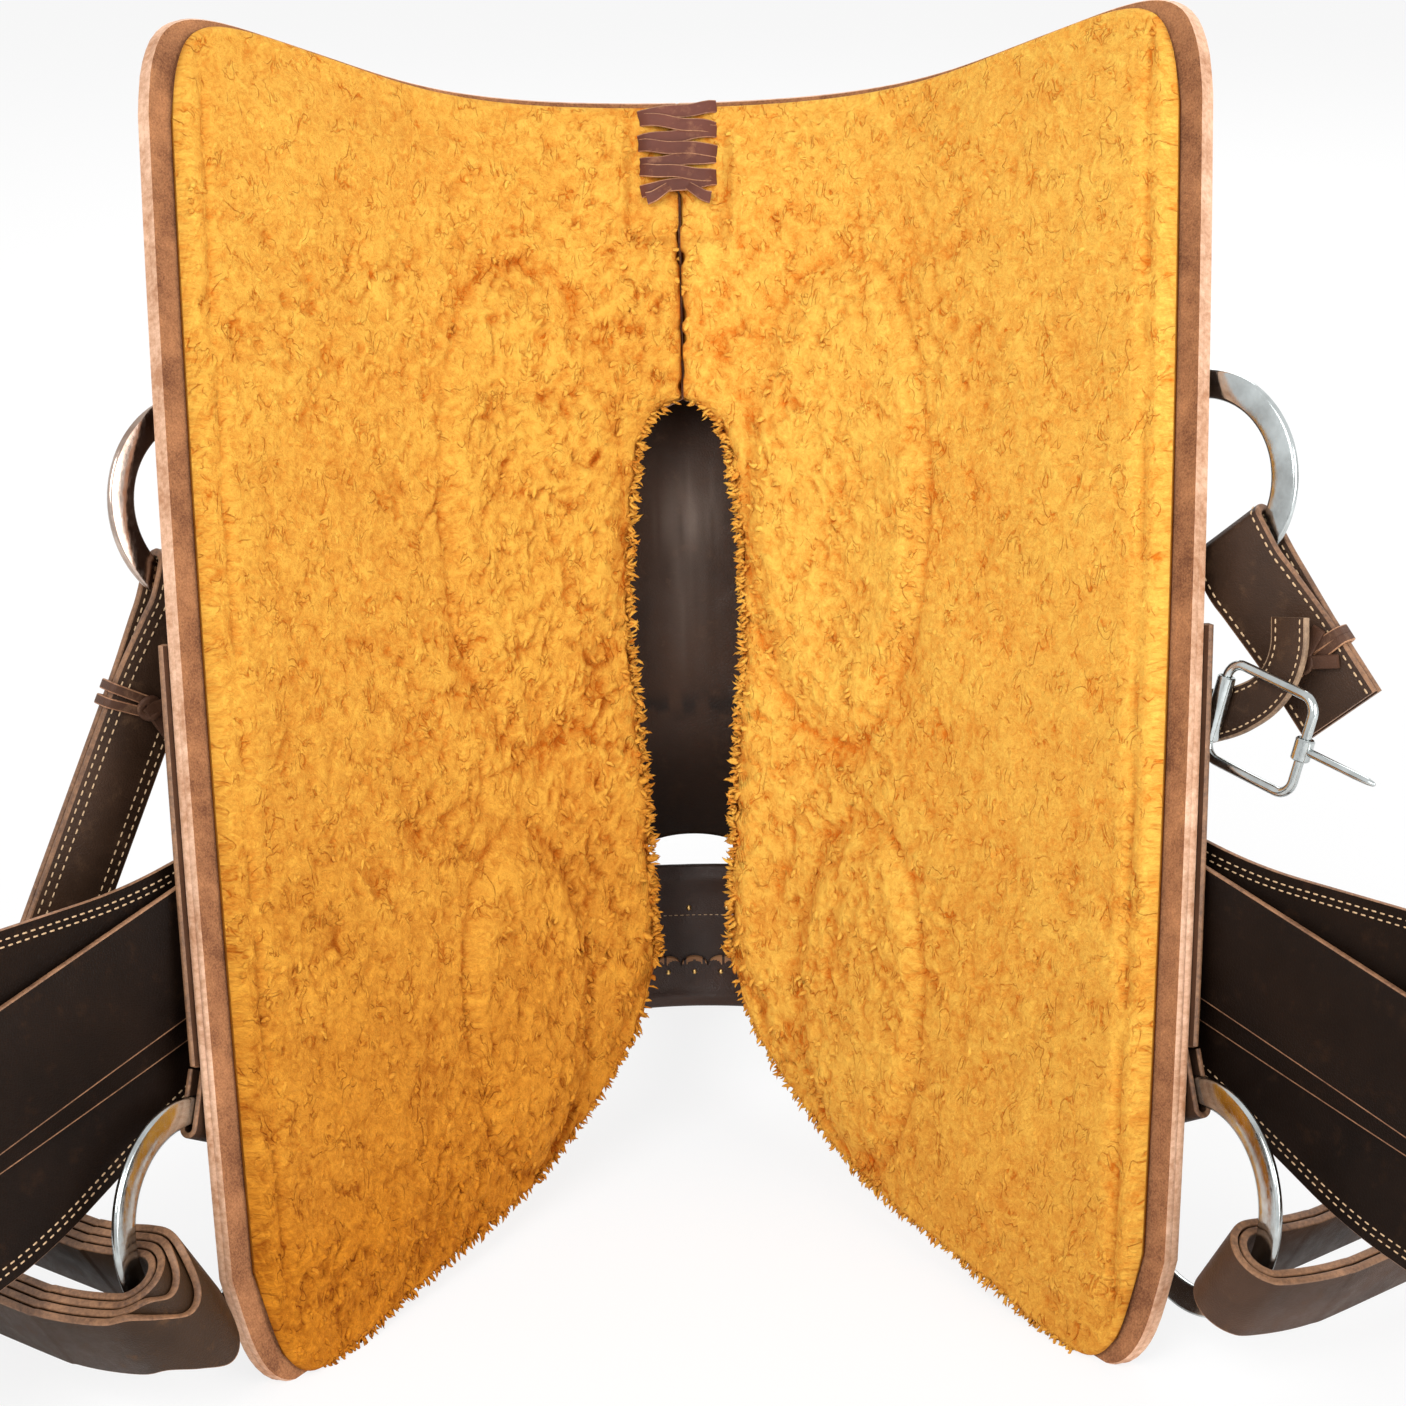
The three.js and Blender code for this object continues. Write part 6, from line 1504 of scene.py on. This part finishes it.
# Fork, horn and jockeys. Leather is drawn over the wooden fork and glued, the horn's neck and cap are leather
# on a steel post, and flat leather jockeys cover the bars before and behind.
def fork_over(arc, f, column, row):
    """The height of the fork's top: a shoulder across by a dome along, over its underside."""
    share = np.abs(2 * column - 1)
    dome = np.sqrt(np.maximum(1 - np.abs(2 * row - 1) ** 4, 0))
    shoulder = np.sqrt(np.maximum(1 - share ** 3.4, 0))
    return fork_under(arc, f) + 8.0 + 58.0 * shoulder * dome


column, row = np.meshgrid(dense_ends(110), dense_ends(60))
f = FORK_REAR + (FORK_FRONT - FORK_REAR) * row
arc = (2 * column - 1) * (bar_outer(f) - LAYER_GAP)
over = fork_over(arc, f, column, row)
laid_sheet("fork_wood", "fork", arc, f, fork_under(arc, f), over, [pale_wood], 3, 0.0)
low = over + LAYER_GAP
laid_sheet("swell_leather", "swell_cover", arc, f, low, low + COVER_THICK, brown_cover)

HORN_MIDDLE = (FORK_REAR + FORK_FRONT) / 2
HORN_TOP, HORN_BORE, POST, HORN_SPREAD = 91.1, 14.3, 14.0, 118.0
horn_span = float(bar_outer(HORN_MIDDLE)) - LAYER_GAP
turn = whole_turn(48)


def footing(radius):
    """A ring on the fork's leather about the horn's foot, drawn out flat as the CAD's is."""
    u, f = radius * np.cos(turn), HORN_MIDDLE + radius * np.sin(turn)
    spine = lengthwise(240.0, 165.0, 105.0, HORN_MIDDLE)
    arc = u * spine / (spine + HORN_SPREAD)
    column, row = arc / horn_span / 2 + 0.5, (f - FORK_REAR) / (FORK_FRONT - FORK_REAR)
    return on_back(arc, f, fork_over(arc, f, column, row) + LAYER_GAP + COVER_THICK + 4 * LAYER_GAP)


horn_foot = footing(0.0)[0]
lean = math.radians(9.0)
horn_up = np.array([0, math.cos(lean), -math.sin(lean)])
horn_ahead = -np.array([0, math.sin(lean), math.cos(lean)])


def horn_ring(height, radius):
    """A ring round the horn's leaning axis, so high above its foot."""
    around = np.cos(turn)[:, None] * ACROSS + np.sin(turn)[:, None] * horn_ahead
    return horn_foot + horn_up * height + radius * around


levels = [footing(24.0)] + [footing(24.0) * (1 - t) + horn_ring(24.0, 19.2) * t for t in (0.3, 0.65)]
levels += [horn_ring(*level) for level in ((24, 19.2), (38, 18.4), (55, 19.0), (70, 20.6), (82, 22.6),
                                           (HORN_TOP, 24.0), (HORN_TOP, HORN_BORE), (40.0, HORN_BORE))]
make_piece("horn_neck_leather", *tube_body(np.stack(levels + [footing(HORN_BORE)]), True), [seat_brown],
           "saddle", None, 60.0, ["horn_neck"])
levels = [footing(13.1), horn_ring(14.0, POST), horn_ring(HORN_TOP, POST)]
make_piece("horn_steel_post", *tube_body(np.stack(levels)), [dark_steel], "saddle", None, 40.0, ["horn_post"])
cap = revolved([[0, 92.0], [30.0, 92.0], [34.2, 92.4], [36.6, 94.2], [38.0, 97.0], [37.9, 100.0],
                [36.9, 102.5], [34.5, 104.4], [30.4, 105.6], [22.0, 106.0], [0, 106.0]],
               64, horn_foot, horn_up, ACROSS)
make_piece("horn_cap_leather", *cap, [seat_brown], "saddle", None, 60.0, ["horn_cap"])

JOCKEY_START, JOCKEY_FRONT, JOCKEY_SIDE = FORK_FRONT + 4.0, 250.0, 240.0
skirt_cover = [skirt_grain, skirt_grain, brown_edge]
for name, side in SIDES:
    column, row = np.meshgrid(even(50), dense_ends(30))
    f = JOCKEY_START + (JOCKEY_FRONT - JOCKEY_START) * row
    inner = front_edge_arc(f) + BAR_SPREAD
    arc = inner + (JOCKEY_SIDE - (JOCKEY_SIDE - inner) * 0.3 * row ** 3 - inner) * column
    low = over_bars(arc, f) + LAYER_GAP + 2 * TOUCH
    laid_sheet(f"front_jockey_leather_{name}", f"front_jockey_{name}", side * arc, f, low, low + COVER_THICK,
               brown_cover)
    arc = 0.8 + (JOCKEY_SIDE - 0.8) * column
    edge = -300.0 + column ** 4 * 36.0
    f = edge + (cantle_line(arc) - 8.0 - edge) * row
    low = over_bars(arc, f) + 3 * LAYER_GAP
    laid_sheet(f"rear_jockey_leather_{name}", f"rear_jockey_{name}", side * arc, f, low, low + COVER_THICK,
               brown_cover)
    # Under them, the rigging plate that holds the rings, and the wrap that holds the stirrup leather.
    column, row = np.meshgrid(even(20), dense_ends(60))
    inner = 285.0 + (SKIRT_DROP - 285.0) * 0.5 * (2 * row - 1) ** 6
    arc = inner + (SKIRT_DROP + 3.0 - inner) * column
    low = SKIRT_TOP + 2 * TOUCH
    laid_sheet(f"rigging_leather_{name}", f"rigging_plate_{name}", side * arc, -36.0 + 222.0 * row, low,
               low + COVER_THICK, skirt_cover)
    column, row = np.meshgrid(even(20), dense_ends(24))
    f = HINGE_F - LEATHER_REAR + (row - 0.5) * LEATHER_WIDE
    inner = bar_outer(f) + 3 * BAR_EDGE + LAYER_GAP
    outer = SEAT_SIDE + 12.0 + 6.0 + (HINGE_F - f) * math.tan(math.radians(HINGE_TURN))
    arc = inner + (outer - inner) * column
    laid_sheet(f"leather_wrap_loop_{name}", f"leather_wrap_{name}", side * arc, f, SKIRT_TOP + LAYER_GAP,
               FENDER_LIFT - 3 * WOOL_GAP, skirt_cover, swell=0.2)
